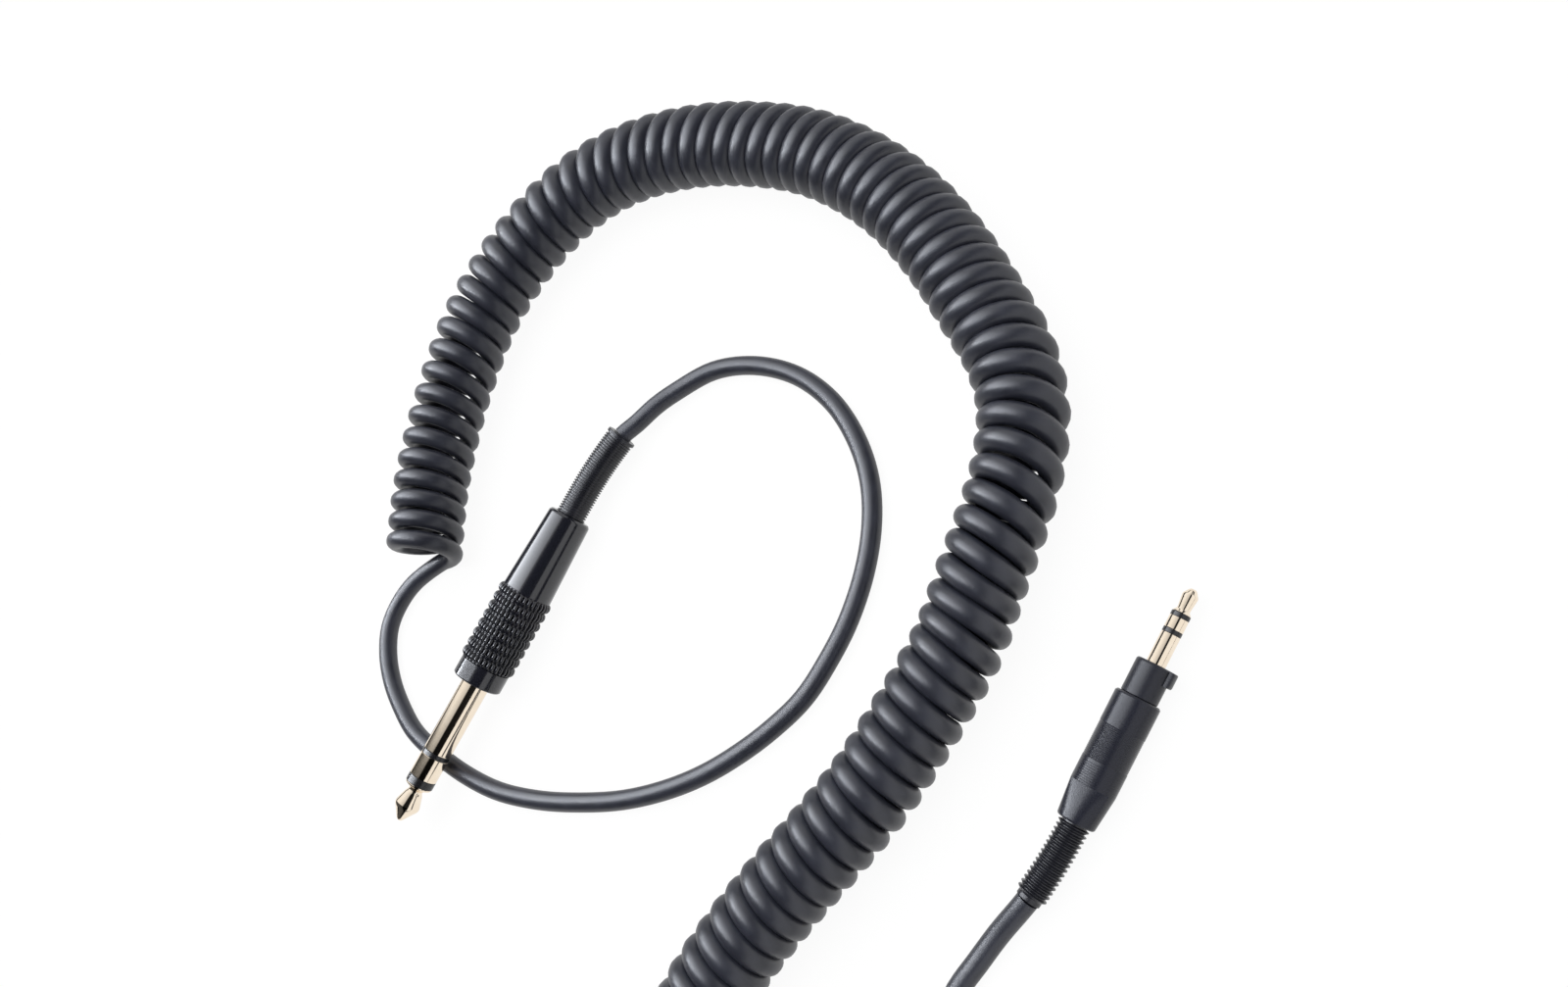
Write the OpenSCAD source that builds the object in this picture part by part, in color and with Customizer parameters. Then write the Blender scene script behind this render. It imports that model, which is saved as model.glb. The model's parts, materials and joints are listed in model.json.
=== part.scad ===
// Coiled audio lead: a 6.35 mm plug with a screw-on handle at one end (the "jack"),
// a locking 3.5 mm plug at the other (the "mini"), and a curly cord between them.
// It lies on a table, with the table top at z = 0.

/* [Cord] */
// Outside diameter of the cord's jacket
cord_d = 4.2; // [3.4:0.1:4.4]
// Outside diameter of the curly part
curly_d = 17.6; // [15:0.1:20]
// Diameter of one insulated wire
wire_d = 0.9; // [0.6:0.05:1.1]
// Diameter of the bare screen wire
screen_d = 0.7; // [0.5:0.05:0.9]

/* [Jack contacts] */
// Diameter of the jack's sleeve contact
jack_d = 6.35; // [6.2:0.01:6.5]
// Length of metal that stands out of the handle
jack_reach = 34.7; // [31:0.1:38]
// Length of the tip contact
jack_tip_len = 9; // [8:0.1:10]
// Largest diameter of the tip's nose
jack_nose_d = 6; // [5.4:0.1:6.2]
// Distance of the nose's widest place from the tip's end
jack_nose_x = 3.6; // [3:0.1:4.2]
// Diameter of the groove behind the nose
jack_neck_d = 3.3; // [2.8:0.1:3.6]
// Width of the insulator behind the tip
jack_tip_ins_w = 1.8; // [1:0.1:2.4]
// Length of the ring contact
jack_ring_len = 5.25; // [4:0.05:6]
// Width of the insulator behind the ring
jack_ring_ins_w = 1.1; // [0.8:0.1:2]
// Diameter of the tip contact's centre rod
jack_rod_d = 2; // [1.8:0.05:2.2]
// Wall of each insulating tube between the contacts
jack_tube_wall = 0.35; // [0.3:0.01:0.4]
// Wall of the ring contact's tube
jack_ring_wall = 0.45; // [0.35:0.01:0.5]

/* [Jack body] */
// Diameter of the bush that the handle screws on
bush_d = 8.6; // [8.4:0.1:8.8]
// Length of the bush
bush_len = 8.5; // [7:0.1:10]
// Depth of the bush's face inside the handle's mouth
bush_recess = 0.8; // [0.3:0.1:1.5]
// Diameter of the insulating washers behind the bush
washer_d = 5.5; // [5:0.1:5.5]
// Thickness of each insulating washer
washer_t = 1.2; // [0.8:0.1:1.4]
// Thickness of the solder lugs and the ground strap
lug_t = 0.5; // [0.4:0.02:0.54]
// Width of the solder lugs
lug_w = 2; // [1.6:0.1:2.2]
// Length of the ring's solder lug
ring_lug_len = 6; // [5.6:0.1:6.4]
// Length of the tip's solder lug
tip_lug_len = 5; // [4.8:0.1:5.4]
// Distance of a lug's hole from its end
lug_hole_in = 1.4; // [1.2:0.1:1.6]
// Clearance of a wire in its lug's hole
lug_hole_gap = 0.06; // [0.04:0.01:0.1]
// Width of the ground strap
strap_w = 2.4; // [1.8:0.1:2.6]
// Distance of the cord clamp behind the handle's mouth
clamp_x = 24; // [23.6:0.1:26]
// Length of the cord clamp
clamp_len = 5; // [3.5:0.1:6]
// How far the stripped cord stands out of the clamp
cord_stub = 1.5; // [1:0.1:1.8]

/* [Jack handle] */
// Length of the handle
handle_len = 42.4; // [40:0.1:48]
// Diameter of the handle at its mouth
handle_d = 11.4; // [10.6:0.1:12]
// Diameter of the handle's rear rim
handle_rear_d = 9.9; // [9.2:0.1:10.5]
// Length of the plain collar in front of the beads
handle_collar = 4.4; // [3:0.1:6]
// Rows of beads round the grip
bead_rows = 8; // [5:1:9]
// Beads in each row
bead_count = 35; // [24:1:40]
// Spacing of the rows
bead_pitch = 2.3; // [2.1:0.05:2.5]
// Radius of a bead's crown along the handle
bead_r = 1; // [0.8:0.05:1.05]
// Height of the beads above the grip
bead_h = 0.65; // [0.4:0.05:0.8]
// Width of the groove between two beads
bead_gap = 0.4; // [0.2:0.05:0.5]
// Distance from the rear rim to the handle's inner shoulder
handle_neck = 5.7; // [4.5:0.1:7]
// Distance of the liner behind the handle's mouth
liner_x = 11.4; // [11:0.1:12]
// Gap between the liner and the handle's inner shoulder
liner_end_gap = 0.6; // [0.3:0.1:1.5]
// Wall of the liner
liner_wall = 0.3; // [0.25:0.05:0.4]
// Handle's way back along its thread
handle_travel = 4.5; // [3:0.25:5]

/* [Jack bend relief] */
// Diameter over the relief's ribs
relief_d = 6.7; // [6.4:0.1:6.8]
// Length of the relief outside the handle
relief_len = 21.5; // [16:0.5:24]
// Number of ribs on the relief
relief_ribs = 34; // [20:1:36]
// Depth of the grooves between the ribs
relief_groove = 0.35; // [0.2:0.05:0.45]
// Diameter of the rim at the relief's cord end
relief_rim_d = 7; // [6.8:0.1:7.4]
// Thickness of that rim
relief_rim_t = 0.8; // [0.5:0.1:1]
// Diameter of the relief's collar inside the handle
relief_collar_d = 7.5; // [7.4:0.1:7.6]
// Thickness of the relief's collar
relief_collar_t = 1.5; // [1:0.1:2]
// Gap between the relief's collar and the handle's inner shoulder
relief_collar_gap = 1.2; // [0.6:0.1:1.5]
// How far the relief bends to one side, in degrees
relief_bend = 11; // [4:1:20]

/* [Mini contacts] */
// Diameter of the mini's sleeve contact
mini_d = 3.5; // [3.4:0.01:3.6]
// Length of metal that stands out of the lock collar
mini_reach = 14.55; // [14:0.05:15.5]
// Length of the tip contact
mini_tip_len = 4.7; // [4.2:0.05:5]
// Largest diameter of the tip's nose
mini_nose_d = 3; // [2.6:0.05:3.1]
// Distance of the nose's widest place from the tip's end
mini_nose_x = 1.25; // [1:0.05:1.6]
// Diameter of the groove behind the nose
mini_neck_d = 2.4; // [2.1:0.05:2.5]
// Width of each insulator ring
mini_ins_w = 0.85; // [0.6:0.05:1]
// Length of the ring contact
mini_ring_len = 2.3; // [2:0.05:2.8]
// Diameter of the tip contact's centre rod
mini_rod_d = 1; // [0.9:0.02:1.1]
// Wall of each insulating tube between the contacts
mini_tube_wall = 0.25; // [0.2:0.01:0.28]
// Wall of the ring contact's tube
mini_ring_wall = 0.25; // [0.2:0.01:0.28]

/* [Mini lock collar and barrel] */
// Diameter of the lock collar
lock_d = 6.8; // [6.6:0.1:7.4]
// Length of the lock collar
lock_len = 6.5; // [5.5:0.1:7]
// Height of the lock lug above the collar
lug_h = 0.85; // [0.6:0.05:1.2]
// Length of the lock lug
lock_lug_len = 2.9; // [2:0.1:3.2]
// Width of the lock lug
lock_lug_w = 3; // [2.2:0.1:3.6]
// Rounding of the lock collar's front edge
lock_round = 0.5; // [0.2:0.05:0.8]
// Diameter of the barrel
barrel_d = 8.4; // [8.2:0.1:9.2]
// Length of the barrel
barrel_len = 24.2; // [23:0.1:28]
// Length of the barrel's rear taper
barrel_taper = 6.8; // [5:0.1:8]
// Diameter of the barrel's rear end
barrel_rear_d = 7.1; // [6.9:0.1:7.6]
// Wall of the barrel
barrel_wall = 1; // [0.8:0.05:1.1]
// Distance of the turned grip rings behind the barrel's front edge
grip_x = 6.3; // [4:0.1:8]
// Number of turned grip rings
grip_rings = 20; // [8:1:24]
// Spacing of the grip rings
grip_pitch = 0.33; // [0.25:0.01:0.36]
// Depth of the grooves between the grip rings
grip_depth = 0.1; // [0.04:0.01:0.15]
// Length of the lock collar's spigot inside the barrel
spigot_len = 2; // [1.6:0.1:3]
// Diameter of the sleeve contact's flange
mini_flange_d = 5.2; // [4.6:0.1:5.6]
// Thickness of the sleeve contact's flange
mini_flange_t = 1; // [0.8:0.1:1.2]
// Diameter of the insulating washers behind the flange
mini_washer_d = 4.4; // [4:0.1:4.6]
// Thickness of each insulating washer
mini_washer_t = 0.9; // [0.7:0.05:1.1]
// Thickness of the solder lugs and the ground strap
mini_lug_t = 0.35; // [0.3:0.01:0.38]
// Width of the solder lugs
mini_lug_w = 1.8; // [1.6:0.1:2]
// Length of the ring's solder lug
mini_ring_lug_len = 4.6; // [4.4:0.1:5]
// Length of the tip's solder lug
mini_tip_lug_len = 4; // [3.8:0.1:4.4]
// Width of the ground strap
mini_strap_w = 2; // [1.6:0.1:2.2]
// Distance of the cord clamp behind the collar's front
mini_clamp_x = 21; // [20.4:0.1:22]
// Length of the cord clamp
mini_clamp_len = 3.5; // [3:0.1:4.5]

/* [Mini boot] */
// Diameter over the boot's ribs
boot_d = 5.8; // [5.5:0.1:6]
// Number of ribs on the boot
boot_ribs = 16; // [8:1:16]
// Spacing of the ribs
boot_pitch = 0.92; // [0.85:0.01:1]
// Depth of the grooves between the ribs
boot_groove = 0.5; // [0.3:0.05:0.55]
// Length of the boot's plain end
boot_tail = 1.1; // [0.8:0.1:2]
// How far the boot bends to one side, in degrees
boot_bend = 9; // [4:1:15]

/* [Layout] */
// Direction of the jack's tip, seen from above
jack_turn = 242; // [240:0.5:244]
// Upward tilt of the jack's tip
jack_tilt = 2.5; // [2.4:0.1:2.8]
// Direction of the mini's tip, seen from above
mini_turn = 63; // [61:0.5:65]

/* [Fits] */
// Gap between parts that are pressed together
fit_gap = 0.02; // [0.01:0.01:0.03]
// Radial gap between the bush and the handle's thread
thread_gap = 0.05; // [0.03:0.01:0.08]
// Radial gap between the handle and its liner
liner_gap = 0.1; // [0.05:0.01:0.15]
// Radial gap between the handle's rear hole and the relief
relief_gap = 0.25; // [0.2:0.05:0.3]

/* [Hidden] */
$fn = 72;

// Colours
gold = [0.86, 0.74, 0.55];
brass = [0.78, 0.62, 0.32];
black = [0.12, 0.12, 0.14];
jacket = [0.2, 0.2, 0.22];
insulator = [0.08, 0.08, 0.09];
fibre = [0.62, 0.5, 0.36];
white = [0.9, 0.9, 0.88];
red = [0.7, 0.12, 0.1];
copper = [0.78, 0.45, 0.28];

// Distance between the clamp and the strap's step, and the length of the step's slope
strap_step = 3;
strap_slope = 1.5;
// Share of the clamp's radius at which its open side is cut off
clamp_open = 0.7;
// How much thinner the sleeve is inside the lock collar
shank_step = 0.2;
// Depth of the boot's seat in the barrel, and its flange's thickness
boot_seat = 1.1;
// Chamfers on the ends of the contacts
jack_edge = 0.15;
mini_edge = 0.08;
// Width of the slope between a nose's flange and its groove
nose_step = 0.15;
// The tip rod's riveted end: its radius as a share of the rod's, and its thickness
rivet_share = 1.4;
jack_rivet_t = 0.5;
mini_rivet_t = 0.4;
// Radius of the tip lug's washer as a share of the washers' behind the other contacts
tip_lug_share = 0.7;
// Chamfers on the handle's mouth, its rear rim and its inner shoulder
mouth_edge = 0.3;
rear_edge = 0.5;
shoulder_edge = 0.9;
// Chamfers on the barrel's front and rear edges
barrel_edge = 0.3;
barrel_rear_edge = 0.2;
// How far beads and ribs are rooted in what carries them
bead_root = 0.4;
rib_root = 0.1;
lug_root = 0.4;
// Step between the lock lug's front and the lock collar's
lug_edge = 0.15;
// Straight part of the relief that stays behind the handle when it is pulled back
relief_straight = 0.8;
// How far the relief's end stands past its rim, and a lead's end past the relief's
end_step = 0.05;
// How far a cutting shape stands past what it cuts
past = 1;

// Radii that follow from the sizes above
cord_r = cord_d / 2;
curly_r = curly_d / 2;
clamp_r = cord_r + fit_gap;
wire_r = wire_d / 2;
screen_r = screen_d / 2;
jack_r = jack_d / 2;
jack_rod_r = jack_rod_d / 2;
jack_ring_bore = jack_rod_r + jack_tube_wall + fit_gap;
jack_ring_tube = jack_ring_bore + jack_ring_wall;
jack_bush_bore = jack_ring_tube + jack_tube_wall + 2 * fit_gap;
bush_r = bush_d / 2;
handle_bore = bush_r + thread_gap;
liner_r = handle_bore - liner_gap;
bead_top_r = handle_d / 2 + bead_h;
relief_r = relief_d / 2;
mini_r = mini_d / 2;
mini_rod_r = mini_rod_d / 2;
mini_ring_bore = mini_rod_r + mini_tube_wall + fit_gap;
mini_ring_tube = mini_ring_bore + mini_ring_wall;
mini_sleeve_bore = mini_ring_tube + mini_tube_wall + 2 * fit_gap;
tip_lug_r = tip_lug_share * washer_d / 2;
mini_tip_lug_r = tip_lug_share * mini_washer_d / 2;
barrel_r = barrel_d / 2;
barrel_bore = barrel_r - barrel_wall;
boot_r = boot_d / 2;

// Places along the jack, from the handle's mouth at 0 towards the tip
jack_tip_x = jack_reach - jack_tip_len;
jack_ring_x = jack_tip_x - jack_tip_ins_w - jack_ring_len;
jack_sleeve_x = jack_ring_x - jack_ring_ins_w;
bush_back = -bush_recess - bush_len;
strap_x = bush_back - fit_gap - lug_t;
ring_lug_x = strap_x - washer_t - 2 * fit_gap - lug_t;
tip_lug_x = ring_lug_x - washer_t - 2 * fit_gap - lug_t;
cord_end_x = -clamp_x + cord_stub;
shoulder_x = -handle_len + handle_neck;
relief_front_x = shoulder_x + relief_collar_gap + relief_collar_t;
relief_bend_x = -handle_len - handle_travel - relief_straight;
relief_arc = relief_len + handle_len + relief_bend_x;
relief_bend_r = relief_arc / (relief_bend * PI / 180);
relief_pitch = relief_len / (relief_ribs + 1);

// Places along the mini, from the lock collar's front at 0 towards the tip
mini_tip_x = mini_reach - mini_tip_len;
mini_ring_x = mini_tip_x - mini_ins_w - mini_ring_len;
mini_sleeve_x = mini_ring_x - mini_ins_w;
spigot_x = -lock_len - spigot_len;
mini_strap_x = spigot_x - fit_gap - mini_lug_t;
mini_ring_lug_x = mini_strap_x - mini_washer_t - 2 * fit_gap - mini_lug_t;
mini_tip_lug_x = mini_ring_lug_x - mini_washer_t - 2 * fit_gap - mini_lug_t;
mini_cord_end_x = -mini_clamp_x + cord_stub;
barrel_x = -lock_len - barrel_len;
boot_len = boot_ribs * boot_pitch + boot_tail;
boot_bend_r = boot_len / (boot_bend * PI / 180);

// The jack rests on its last row of beads, the mini on its barrel
jack_rest_x = handle_collar + (bead_rows - 0.5) * bead_pitch;
jack_seat = [-69.6, -9.4, bead_top_r * cos(jack_tilt) + jack_rest_x * sin(jack_tilt)];
mini_seat = [79.42, -5.27, barrel_r];

// Cord routes on the table, as the cord's middle line
jack_route = [
    [-35.1, 48.9, 3.9], [-30.8, 52.9, 3.2], [-26.4, 55.9, 2.5], [-17, 60, cord_r], [-6.5, 60, cord_r],
    [4, 56.5, cord_r], [12.5, 50, cord_r], [18.5, 41.5, cord_r], [22, 32.5, cord_r],
    [23, 23.5, cord_r], [22, 14, cord_r], [19, 4, cord_r], [15, -4, cord_r], [10, -11.5, cord_r],
    [3.5, -17.5, cord_r], [-3.5, -22.5, cord_r], [-11.5, -27, cord_r], [-20.5, -30.5, cord_r],
    [-31, -33, cord_r], [-42, -34, cord_r], [-53, -34, cord_r], [-64.5, -32.5, cord_r],
    [-75, -29, cord_r], [-84, -24.5, cord_r], [-91, -20, cord_r], [-96, -14.5, cord_r],
    [-100, -8.5, cord_r], [-102.5, -2, cord_r], [-103, 4.5, cord_r], [-101, 10, cord_r],
    [-97, 15, cord_r], [-91, 19, cord_r]
];
curly_route = [
    [-89, 20], [-89.5, 36], [-88, 50], [-85, 64], [-80.5, 77.5], [-73.5, 89.5], [-64, 100],
    [-52, 108], [-38, 112], [-22.5, 112.5], [-7, 110], [7.5, 105], [20.5, 97], [31.5, 87],
    [40.5, 75.5], [47.5, 64], [53.5, 52.5], [56, 41.5], [55, 30], [52, 19.5], [48.5, 9.5],
    [45, -1], [40, -10.5], [34.5, -19.5], [28.5, -28.5], [21, -37.5], [12, -47.5], [3, -58.5],
    [-4, -69], [-8, -79], [-8, -90]
];
mini_route = [
    [51.5, -52.4, 2.6], [47.6, -57.5, 2.1], [44, -62.5, cord_r], [40.5, -70, cord_r],
    [36.5, -79, cord_r], [30.5, -87.5, cord_r], [23, -93.5, cord_r], [14.5, -96, cord_r],
    [7, -95.5, 2.3], [2, -93.5, 4], [-0.6, -91.5, 6.6], [-1.2, -89.5, 9.4]
];

// A round bar or tube along the plug's axis, from x0 to x1
module bar(x0, x1, r, bore = 0) {
    translate([x0, 0, 0])
        rotate([0, 90, 0])
            difference() {
                cylinder(h = x1 - x0, r = r);
                if (bore > 0)
                    translate([0, 0, -past])
                        cylinder(h = x1 - x0 + 2 * past, r = bore);
            }
}

// A turned piece along the plug's axis: its outline is a list of [radius, place]
module turned(outline) {
    rotate([0, 90, 0])
        rotate_extrude()
            polygon(outline);
}

// Puts a piece that is drawn along x into its plug's place
module in_jack() {
    translate(jack_seat)
        rotate([0, -jack_tilt, jack_turn])
            children();
}

module in_mini() {
    translate(mini_seat)
        rotate([0, 0, mini_turn])
            children();
}

// The nose of a plug: a thin flange, a groove, a swelling up to wide_x and a blunt cone
module nose(x, length, r, neck_r, nose_r, wide_x, rod_back, rod_r, rivet_r, rivet_t) {
    swell = nose_r - neck_r;
    turned([
        [0, rod_back - rivet_t], [rivet_r, rod_back - rivet_t], [rivet_r, rod_back],
        [rod_r, rod_back], [rod_r, x + fit_gap],
        [0.94 * r, x + fit_gap], [0.96 * r, x + 0.03 * length], [0.92 * r, x + 0.06 * length],
        [neck_r + nose_step, x + 0.13 * length], [neck_r, x + 0.16 * length],
        [neck_r, x + 0.2 * length], [neck_r + 0.2 * swell, x + 0.25 * length],
        [neck_r + 0.95 * swell, wide_x - 0.06 * length], [nose_r, wide_x],
        [nose_r - 0.07 * swell, wide_x + 0.03 * length],
        [0.27 * nose_r, x + 0.955 * length], [0.17 * nose_r, x + 0.99 * length],
        [0, x + length]
    ]);
}

// An insulator: the ring that shows and the tube behind it
module insulator_tube(x, width, r, bore, tube_r, back) {
    turned([
        [bore, back], [tube_r, back], [tube_r, x + fit_gap], [r, x + fit_gap],
        [r, x + width - fit_gap], [bore, x + width - fit_gap]
    ]);
}

// A ring contact: the band that shows and the tube behind it
module ring_contact(x, length, r, bore, tube_r, back, edge) {
    turned([
        [bore, back], [tube_r, back], [tube_r, x], [r - edge, x], [r, x + edge],
        [r, x + length - edge], [r - edge, x + length], [bore, x + length]
    ]);
}

// A solder lug: a washer on the plug's axis and a tab that runs back beside it
module solder_lug(x, t, washer_r, bore, tab_y, w, length, hole_r) {
    difference() {
        union() {
            bar(x, x + t, washer_r);
            translate([x, 0, -w / 2])
                cube([t, tab_y + t, w]);
            translate([x + t - length, tab_y, -w / 2])
                cube([length, t, w]);
        }
        bar(x - past, x + t + past, bore);
        translate([x + t - length + lug_hole_in, tab_y - past, 0])
            rotate([-90, 0, 0])
                cylinder(h = t + 2 * past, r = hole_r, $fn = 32);
    }
}

// The ground strap: a washer, an arm that steps inwards, and a clamp round the cord
module ground_strap(x, t, washer_r, bore, arm_z, w, back, length) {
    step_x = back + length + strap_step;
    bar(x, x + t, washer_r, bore);
    translate([0, w / 2, 0])
        rotate([90, 0, 0])
            linear_extrude(w)
                polygon([
                    [x + t, -arm_z], [x + t, -arm_z - t], [step_x + strap_slope, -arm_z - t],
                    [step_x, -clamp_r - t], [back, -clamp_r - t], [back, -clamp_r],
                    [step_x + 0.2, -clamp_r], [step_x + strap_slope + 0.2, -arm_z]
                ]);
    difference() {
        bar(back, back + length, clamp_r + t, clamp_r);
        translate([back - past, -clamp_r - past, clamp_open * clamp_r])
            cube([length + 2 * past, 2 * (clamp_r + past), clamp_r]);
    }
}

// A sleeve of round section that runs back from x and bends sideways in an arc
module bent_tube(x, bend_r, bend, r, bore) {
    translate([x, bend_r, 0])
        rotate([0, 0, -90])
            rotate_extrude(angle = -bend)
                translate([bend_r, 0])
                    difference() {
                        circle(r = r);
                        if (bore > 0)
                            circle(r = bore);
                    }
}

// A place at the distance s behind x, along the plug's axis and then along that arc
function bend_turn(bend_r, s) = max(s, 0) / bend_r * 180 / PI;
function bend_place(x, bend_r, s) =
    let (turn = bend_turn(bend_r, s))
    [x - bend_r * sin(turn) - min(s, 0), bend_r - bend_r * cos(turn), 0];
module on_bend(x, bend_r, s) {
    translate(bend_place(x, bend_r, s))
        rotate([0, 0, -bend_turn(bend_r, s)])
            children();
}

// A tube swept along a route, as a closed skin of rings
function tangent(route, i) =
    route[min(i + 1, len(route) - 1)] - route[max(i - 1, 0)];
function ring_at(route, i, r, sides) =
    let (t = tangent(route, i) / norm(tangent(route, i)),
         across = cross([0, 0, 1], t) / norm(cross([0, 0, 1], t)),
         up = cross(t, across))
    [for (k = [0 : sides - 1])
        route[i] + r * (cos(360 * k / sides) * across + sin(360 * k / sides) * up)];
module swept(route, r, sides) {
    last = (len(route) - 1) * sides;
    polyhedron(
        points = [for (i = [0 : len(route) - 1]) each ring_at(route, i, r, sides)],
        faces = concat(
            [[for (k = [0 : sides - 1]) k]],
            [for (i = [0 : len(route) - 2], k = [0 : sides - 1])
                let (a = i * sides + k, b = i * sides + (k + 1) % sides)
                each [[a, a + sides, b + sides], [a, b + sides, b]]],
            [[for (k = [sides - 1 : -1 : 0]) last + k]]
        ),
        convexity = 10
    );
}

// ---- Jack ----

module jack_tip() {
    color(gold)
        in_jack()
            nose(jack_tip_x, jack_tip_len, jack_r, jack_neck_d / 2, jack_nose_d / 2,
                 jack_reach - jack_nose_x, tip_lug_x, jack_rod_r, rivet_share * jack_rod_r,
                 jack_rivet_t);
}

module jack_tip_insulator() {
    color(insulator)
        in_jack()
            insulator_tube(jack_tip_x - jack_tip_ins_w, jack_tip_ins_w, jack_r,
                           jack_rod_r + fit_gap, jack_ring_bore - fit_gap,
                           tip_lug_x + lug_t + fit_gap);
}

module jack_ring() {
    color(gold)
        in_jack()
            ring_contact(jack_ring_x, jack_ring_len, jack_r, jack_ring_bore, jack_ring_tube,
                         ring_lug_x, jack_edge);
}

module jack_ring_insulator() {
    color(insulator)
        in_jack()
            insulator_tube(jack_sleeve_x, jack_ring_ins_w, jack_r, jack_ring_tube + fit_gap,
                           jack_bush_bore - fit_gap, ring_lug_x + lug_t + fit_gap);
}

module jack_sleeve() {
    color(gold)
        in_jack()
            turned([
                [jack_bush_bore, bush_back], [bush_r, bush_back], [bush_r, -bush_recess],
                [jack_r, -bush_recess], [jack_r, jack_sleeve_x - jack_edge],
                [jack_r - jack_edge, jack_sleeve_x], [jack_bush_bore, jack_sleeve_x]
            ]);
}

module jack_rear_washers() {
    color(fibre)
        in_jack() {
            bar(strap_x - fit_gap - washer_t, strap_x - fit_gap, washer_d / 2, jack_bush_bore);
            bar(ring_lug_x - fit_gap - washer_t, ring_lug_x - fit_gap, washer_d / 2,
                jack_ring_bore);
        }
}

module jack_ring_lug() {
    color(brass)
        in_jack()
            solder_lug(ring_lug_x, lug_t, washer_d / 2, jack_ring_tube + fit_gap,
                       washer_d / 2 + fit_gap, lug_w, ring_lug_len, wire_r + lug_hole_gap);
}

module jack_tip_lug() {
    color(brass)
        in_jack()
            mirror([0, 1, 0])
                solder_lug(tip_lug_x, lug_t, tip_lug_r, jack_rod_r + fit_gap,
                           tip_lug_r, lug_w, tip_lug_len, wire_r + lug_hole_gap);
}

module jack_ground_strap() {
    color(brass)
        in_jack()
            ground_strap(strap_x, lug_t, washer_d / 2 + lug_t, jack_bush_bore,
                         washer_d / 2 + fit_gap, strap_w, -clamp_x - clamp_len, clamp_len);
}

module jack_liner() {
    color(fibre)
        in_jack()
            bar(shoulder_x + liner_end_gap, -liner_x, liner_r, liner_r - liner_wall);
}

// The handle's outline: mouth, collar, grip, taper, rear hole, shoulder and thread bore
module handle_shell() {
    r = handle_d / 2;
    rear_r = handle_rear_d / 2;
    hole_r = relief_r + relief_gap;
    beads_end = -handle_collar - bead_rows * bead_pitch;
    turned([
        [handle_bore, 0], [r - mouth_edge, 0], [r, -mouth_edge], [r, beads_end],
        [rear_r, -handle_len + rear_edge],
        [rear_r - 0.3 * rear_edge, -handle_len + 0.3 * rear_edge],
        [rear_r - rear_edge, -handle_len], [hole_r, -handle_len],
        [hole_r, shoulder_x - shoulder_edge], [handle_bore, shoulder_x]
    ]);
}

// One row of beads is a rounded ridge, cut across by grooves
module bead_ridges() {
    for (i = [0 : bead_rows - 1])
        rotate([0, 90, 0])
            translate([0, 0, -handle_collar - (i + 0.5) * bead_pitch])
                rotate_extrude()
                    intersection() {
                        translate([bead_top_r - bead_r, 0])
                            circle(r = bead_r, $fn = 32);
                        translate([handle_d / 2 - bead_root, -bead_r])
                            square([bead_r + past, 2 * bead_r]);
                    }
}

module bead_grooves() {
    floor_r = handle_d / 2 + 0.05;
    top_r = bead_top_r + 0.1;
    length = bead_rows * bead_pitch;
    for (k = [0 : bead_count - 1])
        rotate([k * 360 / bead_count, 0, 0])
            translate([-handle_collar - length, 0, 0])
                rotate([90, 0, 90])
                    linear_extrude(length)
                        polygon([
                            [0, floor_r], [bead_gap / 2, top_r], [-bead_gap / 2, top_r]
                        ]);
}

module jack_handle() {
    color(black)
        in_jack() {
            handle_shell();
            difference() {
                bead_ridges();
                bead_grooves();
            }
        }
}

// The jack's relief: a collar inside the handle, a core, fine ribs and an end rim
module jack_bend_relief() {
    core_r = relief_r - relief_groove;
    root_r = core_r - rib_root;
    rib_t = 0.55 * relief_pitch;
    rib_edge = 0.08;
    lead_in = -handle_len - relief_bend_x;
    color(black)
        in_jack() {
            bar(relief_front_x - relief_collar_t, relief_front_x, relief_collar_d / 2, clamp_r);
            bar(relief_bend_x, relief_front_x, core_r, clamp_r);
            bent_tube(relief_bend_x, relief_bend_r, relief_bend, core_r, clamp_r);
            for (i = [0 : relief_ribs - 1])
                on_bend(relief_bend_x, relief_bend_r, (i + 0.5) * relief_pitch - lead_in)
                    turned([
                        [root_r, -rib_t / 2], [relief_r - rib_edge, -rib_t / 2],
                        [relief_r, -rib_t / 4], [relief_r, rib_t / 4],
                        [relief_r - rib_edge, rib_t / 2], [root_r, rib_t / 2]
                    ]);
            on_bend(relief_bend_x, relief_bend_r, relief_arc - relief_rim_t / 2 - end_step)
                bar(-relief_rim_t / 2, relief_rim_t / 2, relief_rim_d / 2, root_r);
        }
}

// The stripped end of the cord, from the clamp to the relief's end
module jack_cord_end() {
    color(jacket)
        in_jack() {
            bar(relief_bend_x, cord_end_x, cord_r);
            bent_tube(relief_bend_x, relief_bend_r, relief_bend, cord_r, 0);
        }
}

// A wire from the cord's end through the hole of a lug on the +y side
module lug_wire(end_x, hole_x, tab_y, t) {
    swept([
        [end_x, 0.7, 0.5], [hole_x - 2.6, 1, 0.2], [hole_x - 0.9, 1.1, 0],
        [hole_x - 0.2, tab_y - 0.7, 0], [hole_x, tab_y - 0.1, 0], [hole_x, tab_y + t + 0.3, 0]
    ], wire_r, 12);
}

// The bare screen wire from the cord's end onto the ground strap's arm
module screen_wire(end_x, step_x, arm_z) {
    lie_z = -arm_z + screen_r + fit_gap;
    swept([
        [end_x, 0, -0.9], [end_x + 1, 0, -1.1], [step_x + 2.4, 0, lie_z], [step_x + 5, 0, lie_z]
    ], screen_r, 12);
}

module jack_tip_wire() {
    color(white)
        in_jack()
            mirror([0, 1, 0])
                lug_wire(cord_end_x, tip_lug_x + lug_t - tip_lug_len + lug_hole_in,
                         tip_lug_r, lug_t);
}

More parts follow.
